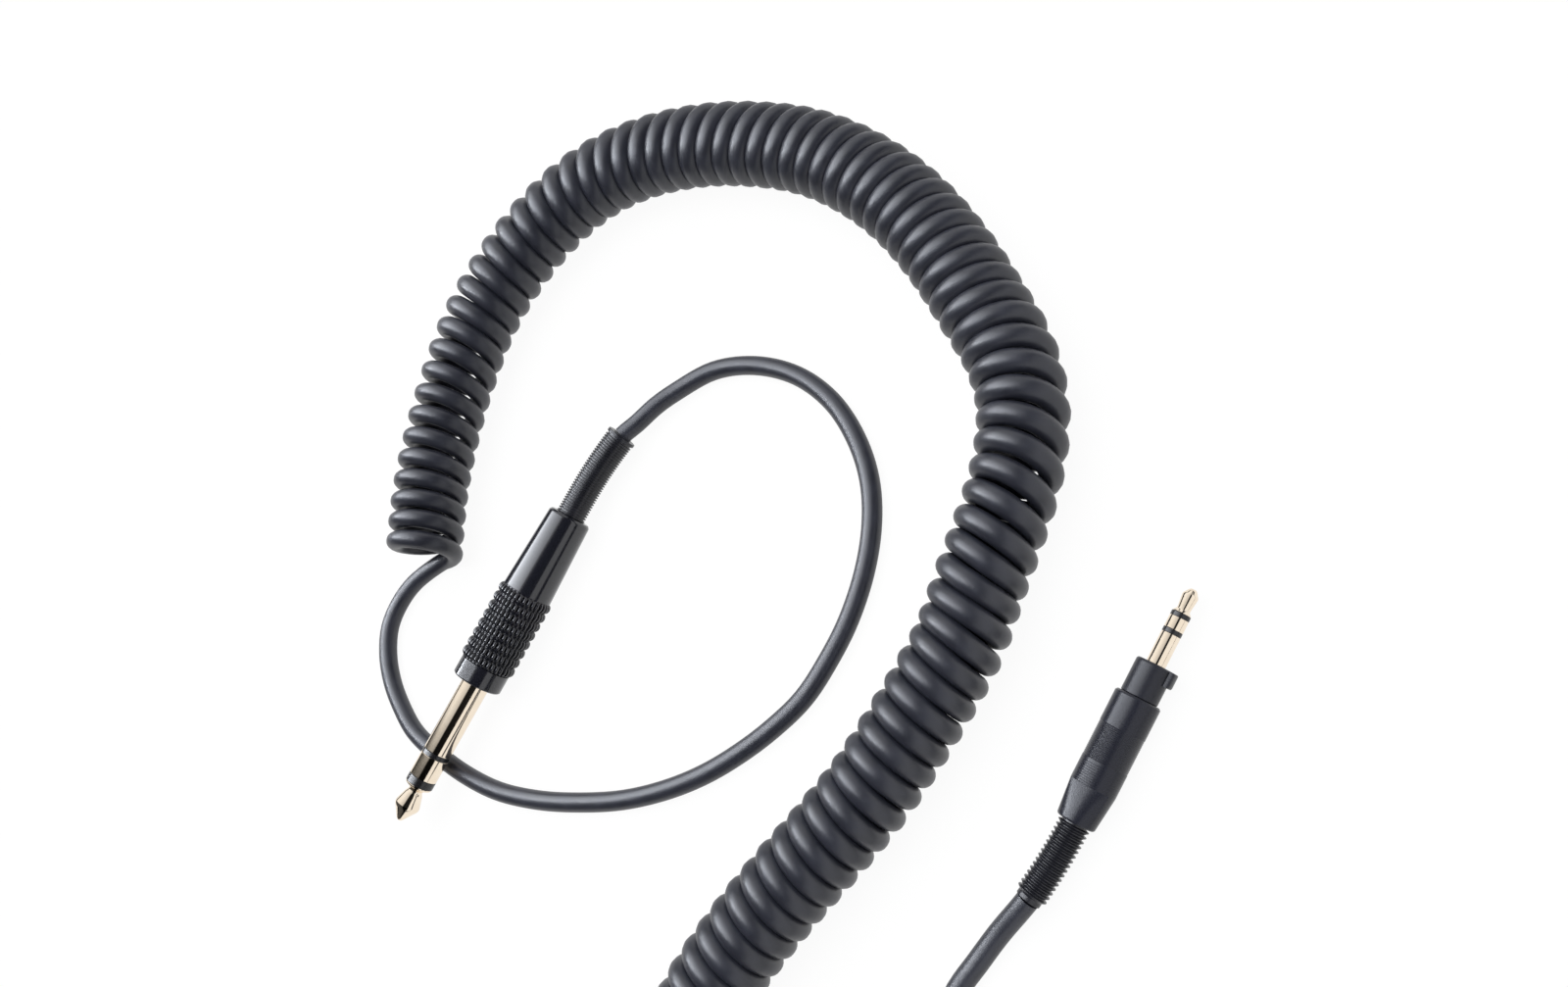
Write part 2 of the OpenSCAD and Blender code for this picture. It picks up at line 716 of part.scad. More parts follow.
module jack_ring_wire() {
    color(red)
        in_jack()
            lug_wire(cord_end_x, ring_lug_x + lug_t - ring_lug_len + lug_hole_in,
                     washer_d / 2 + fit_gap, lug_t);
}

module jack_ground_wire() {
    color(copper)
        in_jack()
            screen_wire(cord_end_x, strap_step - clamp_x, washer_d / 2 + fit_gap);
}

// ---- Mini ----

module mini_tip() {
    color(gold)
        in_mini()
            nose(mini_tip_x, mini_tip_len, mini_r, mini_neck_d / 2, mini_nose_d / 2,
                 mini_reach - mini_nose_x, mini_tip_lug_x, mini_rod_r,
                 rivet_share * mini_rod_r, mini_rivet_t);
}

module mini_tip_insulator() {
    color(insulator)
        in_mini()
            insulator_tube(mini_tip_x - mini_ins_w, mini_ins_w, mini_r, mini_rod_r + fit_gap,
                           mini_ring_bore - fit_gap, mini_tip_lug_x + mini_lug_t + fit_gap);
}

module mini_ring() {
    color(gold)
        in_mini()
            ring_contact(mini_ring_x, mini_ring_len, mini_r, mini_ring_bore, mini_ring_tube,
                         mini_ring_lug_x, mini_edge);
}

module mini_ring_insulator() {
    color(insulator)
        in_mini()
            insulator_tube(mini_sleeve_x, mini_ins_w, mini_r, mini_ring_tube + fit_gap,
                           mini_sleeve_bore - fit_gap, mini_ring_lug_x + mini_lug_t + fit_gap);
}

module mini_sleeve() {
    shank_r = mini_r - shank_step;
    color(gold)
        in_mini()
            turned([
                [mini_sleeve_bore, spigot_x], [mini_flange_d / 2, spigot_x],
                [mini_flange_d / 2, spigot_x + mini_flange_t],
                [shank_r, spigot_x + mini_flange_t], [shank_r, 0], [mini_r, 0],
                [mini_r, mini_sleeve_x - mini_edge], [mini_r - mini_edge, mini_sleeve_x],
                [mini_sleeve_bore, mini_sleeve_x]
            ]);
}

module mini_rear_washers() {
    r = mini_washer_d / 2;
    color(fibre)
        in_mini() {
            bar(mini_strap_x - fit_gap - mini_washer_t, mini_strap_x - fit_gap, r,
                mini_sleeve_bore);
            bar(mini_ring_lug_x - fit_gap - mini_washer_t, mini_ring_lug_x - fit_gap, r,
                mini_ring_bore);
        }
}

module mini_ring_lug() {
    color(brass)
        in_mini()
            solder_lug(mini_ring_lug_x, mini_lug_t, mini_washer_d / 2, mini_ring_tube + fit_gap,
                       mini_washer_d / 2 + fit_gap, mini_lug_w, mini_ring_lug_len,
                       wire_r + lug_hole_gap);
}

module mini_tip_lug() {
    color(brass)
        in_mini()
            mirror([0, 1, 0])
                solder_lug(mini_tip_lug_x, mini_lug_t, mini_tip_lug_r, mini_rod_r + fit_gap,
                           mini_tip_lug_r, mini_lug_w, mini_tip_lug_len,
                           wire_r + lug_hole_gap);
}

module mini_ground_strap() {
    color(brass)
        in_mini()
            ground_strap(mini_strap_x, mini_lug_t, mini_washer_d / 2 + mini_lug_t,
                         mini_sleeve_bore, mini_washer_d / 2 + fit_gap, mini_strap_w,
                         -mini_clamp_x - mini_clamp_len, mini_clamp_len);
}

// The lock collar: a rounded front, the bayonet lug, and a spigot inside the barrel
module mini_lock_collar() {
    r = lock_d / 2;
    shank_r = mini_r - shank_step + fit_gap;
    flange_r = mini_flange_d / 2 + fit_gap;
    flange_x = spigot_x + mini_flange_t + fit_gap;
    spigot_r = barrel_bore - fit_gap;
    color(black)
        in_mini() {
            turned(concat(
                [[shank_r, flange_x], [flange_r, flange_x], [flange_r, spigot_x],
                 [spigot_r, spigot_x], [spigot_r, -lock_len - fit_gap],
                 [r, -lock_len - fit_gap]],
                [for (a = [0 : 15 : 90])
                    [r - lock_round + lock_round * cos(a), -lock_round + lock_round * sin(a)]],
                [[shank_r, 0]]
            ));
            intersection() {
                bar(-lock_lug_len, -lug_edge, r + lug_h, r - lug_root);
                translate([-lock_lug_len, -r - lug_h - past, -lock_lug_w / 2])
                    cube([lock_lug_len, r, lock_lug_w]);
            }
        }
}

// The barrel: a chamfered front, turned grip rings, a rear taper and the boot's seat
module mini_barrel() {
    front_x = -lock_len - 2 * fit_gap;
    rear_r = barrel_rear_d / 2;
    hole_r = boot_r - boot_groove + fit_gap;
    seat_r = boot_r + fit_gap;
    seat_x = barrel_x + boot_seat;
    color(black)
        in_mini()
            turned(concat(
                [[barrel_bore, front_x], [barrel_r - barrel_edge, front_x],
                 [barrel_r, front_x - barrel_edge]],
                [for (i = [0 : grip_rings - 1], corner = [0, 1])
                    [barrel_r - corner * grip_depth,
                     -lock_len - grip_x - (i + corner / 2) * grip_pitch]],
                [[barrel_r, -lock_len - grip_x - grip_rings * grip_pitch],
                 [barrel_r, barrel_x + barrel_taper], [rear_r, barrel_x + barrel_rear_edge],
                 [rear_r - barrel_rear_edge, barrel_x], [hole_r, barrel_x],
                 [hole_r, seat_x], [seat_r, seat_x], [seat_r, seat_x + boot_seat + 0.5],
                 [barrel_bore, barrel_x + barrel_taper]]
            ));
}

// The mini's boot: a flange inside the barrel, a core and saw-tooth ribs
module mini_boot() {
    core_r = boot_r - boot_groove;
    root_r = core_r - rib_root;
    front_x = barrel_x + 2 * boot_seat;
    color(black)
        in_mini() {
            bar(barrel_x + boot_seat + fit_gap, front_x, boot_r, clamp_r);
            bar(barrel_x, front_x, core_r, clamp_r);
            bent_tube(barrel_x, boot_bend_r, boot_bend, core_r, clamp_r);
            for (i = [0 : boot_ribs - 1])
                on_bend(barrel_x, boot_bend_r, (i + 0.7) * boot_pitch)
                    turned([
                        [root_r, -0.25 * boot_pitch], [boot_r, -0.12 * boot_pitch],
                        [boot_r, 0.06 * boot_pitch], [root_r, 0.5 * boot_pitch]
                    ]);
        }
}

module mini_cord_end() {
    color(jacket)
        in_mini() {
            bar(barrel_x, mini_cord_end_x, cord_r);
            bent_tube(barrel_x, boot_bend_r, boot_bend, cord_r, 0);
        }
}

module mini_tip_wire() {
    color(white)
        in_mini()
            mirror([0, 1, 0])
                lug_wire(mini_cord_end_x,
                         mini_tip_lug_x + mini_lug_t - mini_tip_lug_len + lug_hole_in,
                         mini_tip_lug_r, mini_lug_t);
}

module mini_ring_wire() {
    color(red)
        in_mini()
            lug_wire(mini_cord_end_x,
                     mini_ring_lug_x + mini_lug_t - mini_ring_lug_len + lug_hole_in,
                     mini_washer_d / 2 + fit_gap, mini_lug_t);
}

module mini_ground_wire() {
    color(copper)
        in_mini()
            screen_wire(mini_cord_end_x, strap_step - mini_clamp_x,
                        mini_washer_d / 2 + fit_gap);
}

// ---- Cord ----

// Where the cord leaves a plug's relief, in the plug's own axes and on the table
function turned_by(p, turn, tilt) =
    let (x = p[0] * cos(tilt) - p[2] * sin(tilt), z = p[0] * sin(tilt) + p[2] * cos(tilt))
    [x * cos(turn) - p[1] * sin(turn), x * sin(turn) + p[1] * cos(turn), z];
jack_exit = jack_seat + turned_by(
    bend_place(relief_bend_x, relief_bend_r, relief_arc + end_step), jack_turn, jack_tilt);
mini_exit = mini_seat + turned_by(
    bend_place(barrel_x, boot_bend_r, boot_len + end_step), mini_turn, 0);

module lead_to_jack() {
    color(jacket)
        swept(concat([jack_exit], jack_route), cord_r, 8);
}

module curly_cord() {
    color(jacket)
        swept([for (p = curly_route) [p[0], p[1], curly_r]], curly_r, 12);
}

module lead_to_mini() {
    color(jacket)
        swept(concat([mini_exit], mini_route), cord_r, 8);
}

jack_tip();
jack_tip_insulator();
jack_ring();
jack_ring_insulator();
jack_sleeve();
jack_rear_washers();
jack_ring_lug();
jack_tip_lug();
jack_ground_strap();
jack_liner();
jack_handle();
jack_bend_relief();
jack_cord_end();
jack_tip_wire();
jack_ring_wire();
jack_ground_wire();
mini_tip();
mini_tip_insulator();
mini_ring();
mini_ring_insulator();
mini_sleeve();
mini_rear_washers();
mini_ring_lug();
mini_tip_lug();
mini_ground_strap();
mini_lock_collar();
mini_barrel();
mini_boot();
mini_cord_end();
mini_tip_wire();
mini_ring_wire();
mini_ground_wire();
lead_to_jack();
curly_cord();
lead_to_mini();
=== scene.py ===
import json
import math

import bpy
from mathutils import Matrix, Vector


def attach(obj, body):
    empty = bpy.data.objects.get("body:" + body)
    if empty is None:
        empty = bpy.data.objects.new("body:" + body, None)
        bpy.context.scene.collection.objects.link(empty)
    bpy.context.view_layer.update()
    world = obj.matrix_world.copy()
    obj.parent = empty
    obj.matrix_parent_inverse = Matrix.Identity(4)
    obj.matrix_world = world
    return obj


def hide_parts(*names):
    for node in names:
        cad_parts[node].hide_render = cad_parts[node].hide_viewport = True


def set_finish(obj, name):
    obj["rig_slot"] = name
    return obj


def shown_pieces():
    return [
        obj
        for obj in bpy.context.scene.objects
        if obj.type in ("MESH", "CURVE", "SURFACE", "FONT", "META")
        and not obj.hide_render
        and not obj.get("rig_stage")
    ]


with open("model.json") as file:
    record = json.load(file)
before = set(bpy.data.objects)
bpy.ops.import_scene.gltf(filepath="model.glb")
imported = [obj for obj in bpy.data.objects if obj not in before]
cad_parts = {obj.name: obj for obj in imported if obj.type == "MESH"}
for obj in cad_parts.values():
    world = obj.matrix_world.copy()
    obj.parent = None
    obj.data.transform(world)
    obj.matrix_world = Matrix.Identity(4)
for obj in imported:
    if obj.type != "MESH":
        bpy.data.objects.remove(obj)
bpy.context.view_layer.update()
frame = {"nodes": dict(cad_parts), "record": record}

MM = 0.001
TURN_MAP = "turn"
UV_MM = 100

# ---------------------------------------------------------------- sizes, as in the CAD

FIT = 0.02
CORD_R = 2.1
CLAMP_R = CORD_R + FIT
COIL_Z = 8.8

# Each x is a distance from the handle's mouth, or from the lock collar's front for the small
# plug, and grows towards the tip. A rivet is its radius and its thickness
JACK_MOUNT_X = 12.44
JACK_R = 3.175
JACK_LEN = 34.7
JACK_TIP_X = 25.7
JACK_TIP_INSULATOR_X = 23.9
JACK_RING_X = 18.65
JACK_SLEEVE_X = 17.55
JACK_ROD_R = 1.0
JACK_TUBE_RS = (1.35, 1.82, 2.19)
JACK_RIVET = (1.4, 0.5)
BUSH_BACK = -9.3
BUSH_FRONT = -0.8
THREAD_TURNS = 10
THREAD_PITCH = 0.75
THREAD_DEPTH = 0.3
JACK_RING_LUG_X = -11.56
JACK_TIP_LUG_X = -13.3
LUG_T = 0.5
HANDLE_LEN = 42.4
HANDLE_R = 5.7
HANDLE_REAR_R = 4.95
HANDLE_BORE = 4.35
BUSH_R = 4.3
COLLAR_LEN = 4.4
BEAD_ROWS = 8
BEAD_COUNT = 35
BEAD_PITCH = 2.3
BEAD_H = 0.65
SHOULDER_X = -36.7
RELIEF_R = 3.35
RELIEF_COLLAR_R = 3.75
RELIEF_RIM_R = 3.5
RELIEF_HOLE_R = 3.6
RELIEF_BEND_X = -47.7
RELIEF_LEN = 21.5
RELIEF_ARC = RELIEF_LEN + HANDLE_LEN + RELIEF_BEND_X
RELIEF_BEND_R = RELIEF_ARC / math.radians(11)
RELIEF_RIBS = 34

MINI_R = 1.75
MINI_LEN = 14.55
MINI_TIP_X = 9.85
MINI_TIP_INSULATOR_X = 9.0
MINI_RING_X = 6.7
MINI_SLEEVE_X = 5.85
MINI_ROD_R = 0.5
MINI_TUBE_RS = (0.75, 1.02, 1.29)
MINI_RIVET = (0.7, 0.4)
MINI_RING_LUG_X = -10.51
MINI_TIP_LUG_X = -11.8
MINI_LUG_T = 0.35
LOCK_R = 3.4
LOCK_LEN = 6.5
LUG_H = 0.85
LUG_LEN = 2.9
LUG_HALF = 1.6
SPIGOT_X = -8.5
SPIGOT_R = 3.18
BARREL_R = 4.2
BARREL_BORE = 3.2
BARREL_X = -30.7
BARREL_REAR_R = 3.55
BARREL_TAPER = 6.8
GRIP_X = -12.8
GRIP_RINGS = 20
GRIP_PITCH = 0.33
GRIP_DEPTH = 0.1
BOOT_R = 2.9
BOOT_RIBS = 16
BOOT_PITCH = 0.92
BOOT_LEN = 15.82
BOOT_BEND_R = BOOT_LEN / math.radians(9)

# The cord's middle line on the table. Scratch scripts found it in the photo and brought it to the
# table, and these are some of their points, moved and rounded. The first three places at the large
# plug were read off the photo instead, and the heights and the small plug's lead under the curl
# were set one by one. The curly part lies at the height COIL_Z.
JACK_ROUTE = [
    (-35.1, 48.9, 3.9), (-30.8, 52.9, 3.2), (-26.4, 55.9, 2.5), (-17, 60, CORD_R),
    (-6.5, 60, CORD_R), (4, 56.5, CORD_R), (12.5, 50, CORD_R), (18.5, 41.5, CORD_R),
    (22, 32.5, CORD_R), (23, 23.5, CORD_R), (22, 14, CORD_R), (19, 4, CORD_R),
    (15, -4, CORD_R), (10, -11.5, CORD_R), (3.5, -17.5, CORD_R),
    (-3.5, -22.5, CORD_R), (-11.5, -27, CORD_R), (-20.5, -30.5, CORD_R), (-31, -33, CORD_R),
    (-42, -34, CORD_R), (-53, -34, CORD_R), (-64.5, -32.5, CORD_R), (-75, -29, CORD_R),
    (-84, -24.5, CORD_R), (-91, -20, CORD_R), (-96, -14.5, CORD_R), (-100, -8.5, CORD_R),
    (-102.5, -2, CORD_R), (-103, 4.5, CORD_R), (-101, 10, CORD_R), (-97, 15, CORD_R),
]
CURLY_ROUTE = [
    (-89, 20), (-89.5, 36), (-88, 50), (-85, 64), (-80.5, 77.5), (-73.5, 89.5), (-64, 100),
    (-52, 108), (-38, 112), (-22.5, 112.5), (-7, 110), (7.5, 105), (20.5, 97), (31.5, 87),
    (40.5, 75.5), (47.5, 64), (53.5, 52.5), (56, 41.5), (55, 30), (52, 19.5), (48.5, 9.5),
    (45, -1), (40, -10.5), (34.5, -19.5), (28.5, -28.5), (21, -37.5), (12, -47.5), (3, -58.5),
    (-4, -69), (-8, -79), (-8, -90),
]
MINI_ROUTE = [
    (51.5, -52.4, 2.6), (47.6, -57.5, 2.1), (44, -62.5, CORD_R), (40.5, -70, CORD_R),
    (36.5, -79, CORD_R), (30.5, -87.5, CORD_R), (23, -93.5, CORD_R), (14.5, -96, CORD_R),
    (7, -95.5, 2.3), (2, -93.5, 4),
]


# ---------------------------------------------------------------- places

def plug_place(origin, axis):
    """The matrix from a plug's own millimetres, with x towards its tip, to the frame."""
    x = Vector(axis).normalized()
    y = Vector((0, 0, 1)).cross(x).normalized()
    z = x.cross(y)
    turn = Matrix((x, y, z)).transposed().to_4x4()
    return Matrix.Translation(origin) @ turn @ Matrix.Scale(MM, 4)


def mount(name):
    """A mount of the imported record, by its name."""
    return next(m for m in frame["record"]["mounts"] if m["name"] == name)


jack_axis = Vector(mount("jack_plug")["axis"])
jack_seat = Vector(mount("jack_plug")["pos_m"]) - JACK_MOUNT_X * MM * jack_axis.normalized()
JACK = plug_place(jack_seat, jack_axis)
MINI = plug_place(mount("mini_lock_collar")["pos_m"], mount("mini_lock_collar")["axis"])


def straight(x, y, z):
    """No bend at all."""
    return Vector((x, y, z))


def bend_from(start_x, bend_r):
    """Bends what lies behind start_x sideways, in an arc of radius bend_r."""
    def bent(x, y, z):
        if x >= start_x:
            return Vector((x, y, z))
        turn = (start_x - x) / bend_r
        return Vector((start_x - (bend_r - y) * math.sin(turn),
                       bend_r - (bend_r - y) * math.cos(turn), z))
    return bent


jack_bend = bend_from(RELIEF_BEND_X, RELIEF_BEND_R)
mini_bend = bend_from(BARREL_X, BOOT_BEND_R)


# ---------------------------------------------------------------- meshes

def add_mesh(name, verts, faces, uvs, material, body, slot, nodes, sharp=40):
    """One object from vertices in the frame, faces, and a u, v pair for each face corner."""
    mesh = bpy.data.meshes.new(name)
    mesh.from_pydata(verts, [], faces)
    layer = mesh.uv_layers.new(name=TURN_MAP)
    for k, uv in enumerate(uvs):
        layer.data[k].uv = uv
    mesh.materials.append(material)
    mesh.shade_smooth()
    mesh.set_sharp_from_angle(angle=math.radians(sharp))
    mesh.validate()
    obj = bpy.data.objects.new(name, mesh)
    bpy.context.collection.objects.link(obj)
    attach(obj, body)
    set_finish(obj, slot)
    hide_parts(*nodes)
    return obj


def softened(outline, steps=3):
    """Rounds each corner of an outline of (x, r, rounding) points.

    A further point on either side of a rounding keeps the shading of the sides straight.
    """
    most, least, guard = 0.42, 0.004, 1.15
    out = []
    n = len(outline)
    for i, (x, r, soft) in enumerate(outline):
        here = Vector((x, r))
        before = Vector(outline[i - 1][:2]) - here
        after = Vector(outline[(i + 1) % n][:2]) - here
        cut = min(soft, most * before.length, most * after.length)
        if cut < least:
            out.append((x, r))
            continue
        a = here + before.normalized() * cut
        b = here + after.normalized() * cut
        out.append(tuple(here + before.normalized() * guard * cut))
        for k in range(steps + 1):
            t = k / steps
            out.append(tuple(a * (1 - t) ** 2 + here * 2 * t * (1 - t) + b * t ** 2))
        out.append(tuple(here + after.normalized() * guard * cut))
    return out


def lathe(name, outline, place, material, body, slot, sides=96, bend=straight, shape=None,
          angles=None, sharp=40):
    """A turned piece from a closed outline of (x, r), which may be bent and shaped over its angle.

    It stands for the CAD node that has its name without the ending.
    """
    around = angles or [2 * math.pi * k / sides for k in range(sides)]
    sides = len(around)
    verts = []
    for x, r in outline:
        for a in around:
            rr = shape(x, r, a) if shape else r
            verts.append(place @ bend(x, rr * math.cos(a), rr * math.sin(a)))
    faces, uvs = [], []
    rings = len(outline)
    for i in range(rings):
        j = (i + 1) % rings
        for k in range(sides):
            m = (k + 1) % sides
            u0 = around[k] / (2 * math.pi)
            u1 = around[m] / (2 * math.pi) if m else 1.0
            v0, v1 = outline[i][0] / UV_MM, outline[j][0] / UV_MM
            faces.append((i * sides + k, j * sides + k, j * sides + m, i * sides + m))
            uvs += [(u0, v0), (u0, v1), (u1, v1), (u1, v0)]
    return add_mesh(name, verts, faces, uvs, material, body, slot,
                    [name.removesuffix("_dressed")], sharp)


def tube(name, line, radii, sides, material, body, slot, nodes):
    """A round tube along a line of points in millimetres, with a radius for each point."""
    verts, faces, uvs = [], [], []
    side = Vector((0, 0, 1))
    along = 0.0
    places = []
    for i, p in enumerate(line):
        t = (line[min(i + 1, len(line) - 1)] - line[max(i - 1, 0)]).normalized()
        side = (side - side.dot(t) * t).normalized()
        up = t.cross(side)
        if i:
            along += (p - line[i - 1]).length
        places.append(along)
        for k in range(sides):
            a = 2 * math.pi * k / sides
            verts.append((p + radii[i] * (math.cos(a) * side + math.sin(a) * up)) * MM)
    for i in range(len(line) - 1):
        for k in range(sides):
            m = (k + 1) % sides
            faces.append((i * sides + k, i * sides + m, (i + 1) * sides + m, (i + 1) * sides + k))
            u0, u1 = k / sides, (k + 1) / sides
            v0, v1 = places[i] / UV_MM, places[i + 1] / UV_MM
            uvs += [(u0, v0), (u1, v0), (u1, v1), (u0, v1)]
    last = (len(line) - 1) * sides
    faces.append(tuple(range(sides - 1, -1, -1)))
    faces.append(tuple(last + k for k in range(sides)))
    uvs += [(0, 0)] * (2 * sides)
    return add_mesh(name, verts, faces, uvs, material, body, slot, nodes, sharp=70)


# ---------------------------------------------------------------- materials

def node(owner, kind, sockets=None, **settings):
    """A shader node with its settings, where a socket gets a constant or another's output."""
    tree = owner.node_tree
    made = tree.nodes.new(kind)
    for key, value in settings.items():
        setattr(made, key, value)
    for key, value in (sockets or {}).items():
        if isinstance(value, bpy.types.NodeSocket):
            tree.links.new(value, made.inputs[key])
        else:
            made.inputs[key].default_value = value
    return made


def turn_coords(mat, scale):
    """Coordinates that run round the piece and along it, scaled by (round, along)."""
    uv = node(mat, "ShaderNodeUVMap", uv_map=TURN_MAP).outputs["UV"]
    mapping = node(mat, "ShaderNodeMapping", {"Vector": uv, "Scale": (*scale, 1)})
    return mapping.outputs["Vector"]


def object_coords(mat):
    """Coordinates in metres."""
    return node(mat, "ShaderNodeTexCoord").outputs["Object"]


def noise(mat, coords, scale, detail=3.0):
    """A noise's level, mostly between 0.3 and 0.7."""
    return node(mat, "ShaderNodeTexNoise", {"Vector": coords, "Scale": scale, "Detail": detail,
                                            "Roughness": 0.55}).outputs["Fac"]


def spread(mat, level, low, high):
    """Maps a noise's middle range to low..high."""
    return node(mat, "ShaderNodeMapRange", {"Value": level, "From Min": 0.3, "From Max": 0.7,
                                            "To Min": low, "To Max": high}).outputs["Result"]


def tint(mat, level, a, b):
    """A colour between a and b."""
    return node(mat, "ShaderNodeMix", {"Factor": level, "A": (*a, 1), "B": (*b, 1)},
                data_type="RGBA").outputs["Result"]


def bump(mat, heights, distance):
    """Stacks bumps, each a (height socket, strength) pair."""
    normal = {}
    for height, strength in heights:
        made = node(mat, "ShaderNodeBump", {"Height": height, "Strength": strength,
                                            "Distance": distance, **normal})
        normal = {"Normal": made.outputs["Normal"]}
    return normal["Normal"]


def new_material(name, colour, metallic, rough, ior=1.5, coat=0.0):
    """A material with its shader's constants. Its noises are linked by finish."""
    mat = bpy.data.materials.new(name)
    mat.use_nodes = True
    shader = mat.node_tree.nodes["Principled BSDF"]
    for key, value in (("Base Color", (*colour, 1)), ("Metallic", metallic),
                       ("Roughness", rough), ("IOR", ior), ("Coat Weight", coat),
                       ("Coat Roughness", 0.12)):
        shader.inputs[key].default_value = value
    return mat


def finish(mat, shade, colours, gloss, roughs, bumps, distance=0.00002):
    """Takes the colour from the noise shade, the roughness from gloss, the normal from bumps."""
    shader = mat.node_tree.nodes["Principled BSDF"]
    for key, socket in (("Base Color", tint(mat, spread(mat, shade, 0, 1), *colours)),
                        ("Roughness", spread(mat, gloss, *roughs)),
                        ("Normal", bump(mat, bumps, distance))):
        mat.node_tree.links.new(socket, shader.inputs[key])
    return mat


def scaled(colour, share):
    """A lighter or darker colour."""
    return tuple(share * c for c in colour)


def gold_plate():
    """Polished gold with faint turning lines."""
    mat = new_material("gold_plate", (0.88, 0.77, 0.62), 1.0, 0.1)
    rings = noise(mat, turn_coords(mat, (0.6, 900)), 1.0, 4.0)
    blotch = noise(mat, object_coords(mat), 380)
    return finish(mat, blotch, [(0.9, 0.79, 0.65), (0.86, 0.74, 0.59)], rings, (0.06, 0.14),
                  [(rings, 0.08)])


def black_metal(name, colour, rough, turning, grain, ior, coat=0.0):
    """A black finish on turned metal, with turning lines and a fine grain."""
    mat = new_material(name, colour, 0.0, rough, ior, coat)
    rings = noise(mat, turn_coords(mat, (0.5, turning)), 1.0, 4.0)
    fine = noise(mat, object_coords(mat), grain, 2.0)
    return finish(mat, fine, [colour, scaled(colour, 1.5)], fine, (rough * 0.85, rough * 1.2),
                  [(rings, 0.1), (fine, 0.12)])


def rubber(name, colour, rough, grain, ior):
    """A soft black moulding, with a wide cloudiness and a fine grain."""
    mat = new_material(name, colour, 0.0, rough, ior)
    fine = noise(mat, object_coords(mat), grain)
    wide = noise(mat, object_coords(mat), 260, 2.0)
    return finish(mat, wide, [colour, scaled(colour, 1.4)], wide, (rough * 0.92, rough * 1.08),
                  [(fine, 0.15)], 0.00003)


def plain(name, colour, metallic, rough, grain):
    """A finish with one grain."""
    mat = new_material(name, colour, metallic, rough)
    fine = noise(mat, object_coords(mat), grain)
    return finish(mat, fine, [colour, scaled(colour, 0.8)], fine, (rough * 0.85, rough * 1.2),
                  [(fine, 0.15)])


GOLD = gold_plate()
INSULATOR = plain("black_insulator", (0.012, 0.012, 0.014), 0.0, 0.25, 2500)
HANDLE = black_metal("handle_black", (0.009, 0.0095, 0.014), 0.14, 700, 4000, 1.6, 0.2)
COLLAR = black_metal("collar_black", (0.012, 0.013, 0.019), 0.34, 300, 9000, 1.4)
BARREL = black_metal("barrel_black", (0.011, 0.012, 0.019), 0.28, 900, 7000, 1.4)
RELIEF = rubber("relief_rubber", (0.012, 0.0125, 0.017), 0.3, 3500, 1.5)
JACKET = rubber("cord_jacket", (0.0155, 0.017, 0.0255), 0.4, 2600, 1.6)
FIBRE = plain("fibre", (0.34, 0.21, 0.1), 0.0, 0.7, 1500)
LUG = plain("lug_brass", (0.58, 0.38, 0.14), 1.0, 0.3, 1200)
WHITE_WIRE = plain("wire_white", (0.75, 0.75, 0.71), 0.0, 0.45, 900)
RED_WIRE = plain("wire_red", (0.4, 0.02, 0.015), 0.0, 0.45, 900)
COPPER = plain("screen_copper", (0.72, 0.33, 0.16), 1.0, 0.35, 1800)

# The pieces inside the plugs keep their CAD meshes
for name, mat, slot in (
        ("rear_washers", FIBRE, "fibre"), ("ring_lug", LUG, "lug_brass"),
        ("tip_lug", LUG, "lug_brass"), ("ground_strap", LUG, "lug_brass"),
        ("liner", FIBRE, "fibre"), ("cord_end", JACKET, "cord_jacket"),
        ("tip_wire", WHITE_WIRE, "wire_white"), ("ring_wire", RED_WIRE, "wire_red"),
        ("ground_wire", COPPER, "screen_copper")):
    for plug in ("jack", "mini"):
        piece = frame["nodes"].get(f"{plug}_{name}")
        if piece:
            piece.data.materials.clear()
            piece.data.materials.append(mat)
            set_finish(piece, slot)


# ---------------------------------------------------------------- contacts

def stack(plug, place, r, xs, rod_r, tube_rs, tip_back, ring_back, lug_t, edge):
    """What lies between tip and sleeve: insulator, ring and insulator, tube inside tube.

    Each tube reaches back to a lug, and its collar in front is what shows.
    """
    tip_x, insulator_x, ring_x, sleeve_x = xs
    black, gold = (INSULATOR, "black_insulator", 0.05, FIT), (GOLD, "gold_plate", edge, 0)
    for name, x, front_x, bore, tube_r, back, (material, slot, soft, gap) in (
            ("tip_insulator", insulator_x, tip_x, rod_r + FIT, tube_rs[0],
             tip_back + lug_t + FIT, black),
            ("ring", ring_x, insulator_x, tube_rs[0] + FIT, tube_rs[1], ring_back, gold),
            ("ring_insulator", sleeve_x, ring_x, tube_rs[1] + FIT, tube_rs[2],
             ring_back + lug_t + FIT, black)):
        lathe(f"{plug}_{name}_dressed", softened([
            (back, bore, 0), (back, tube_r, 0), (x + gap, tube_r, 0), (x + gap, r, soft),
            (front_x - gap, r, soft), (front_x - gap, bore, 0)]), place, material, "root", slot)


def nose(name, x, outline, rod_back, rod_r, rivet, place):
    """A tip contact: its outline, and its rod with a riveted end."""
    rivet_r, rivet_t = rivet
    back = [(rod_back - rivet_t, 0.001, 0), (rod_back - rivet_t, rivet_r, 0.1),
            (rod_back, rivet_r, 0.1), (rod_back, rod_r, 0), (x + FIT, rod_r, 0)]
    lathe(name, softened(back + outline, 5), place, GOLD, "root", "gold_plate")


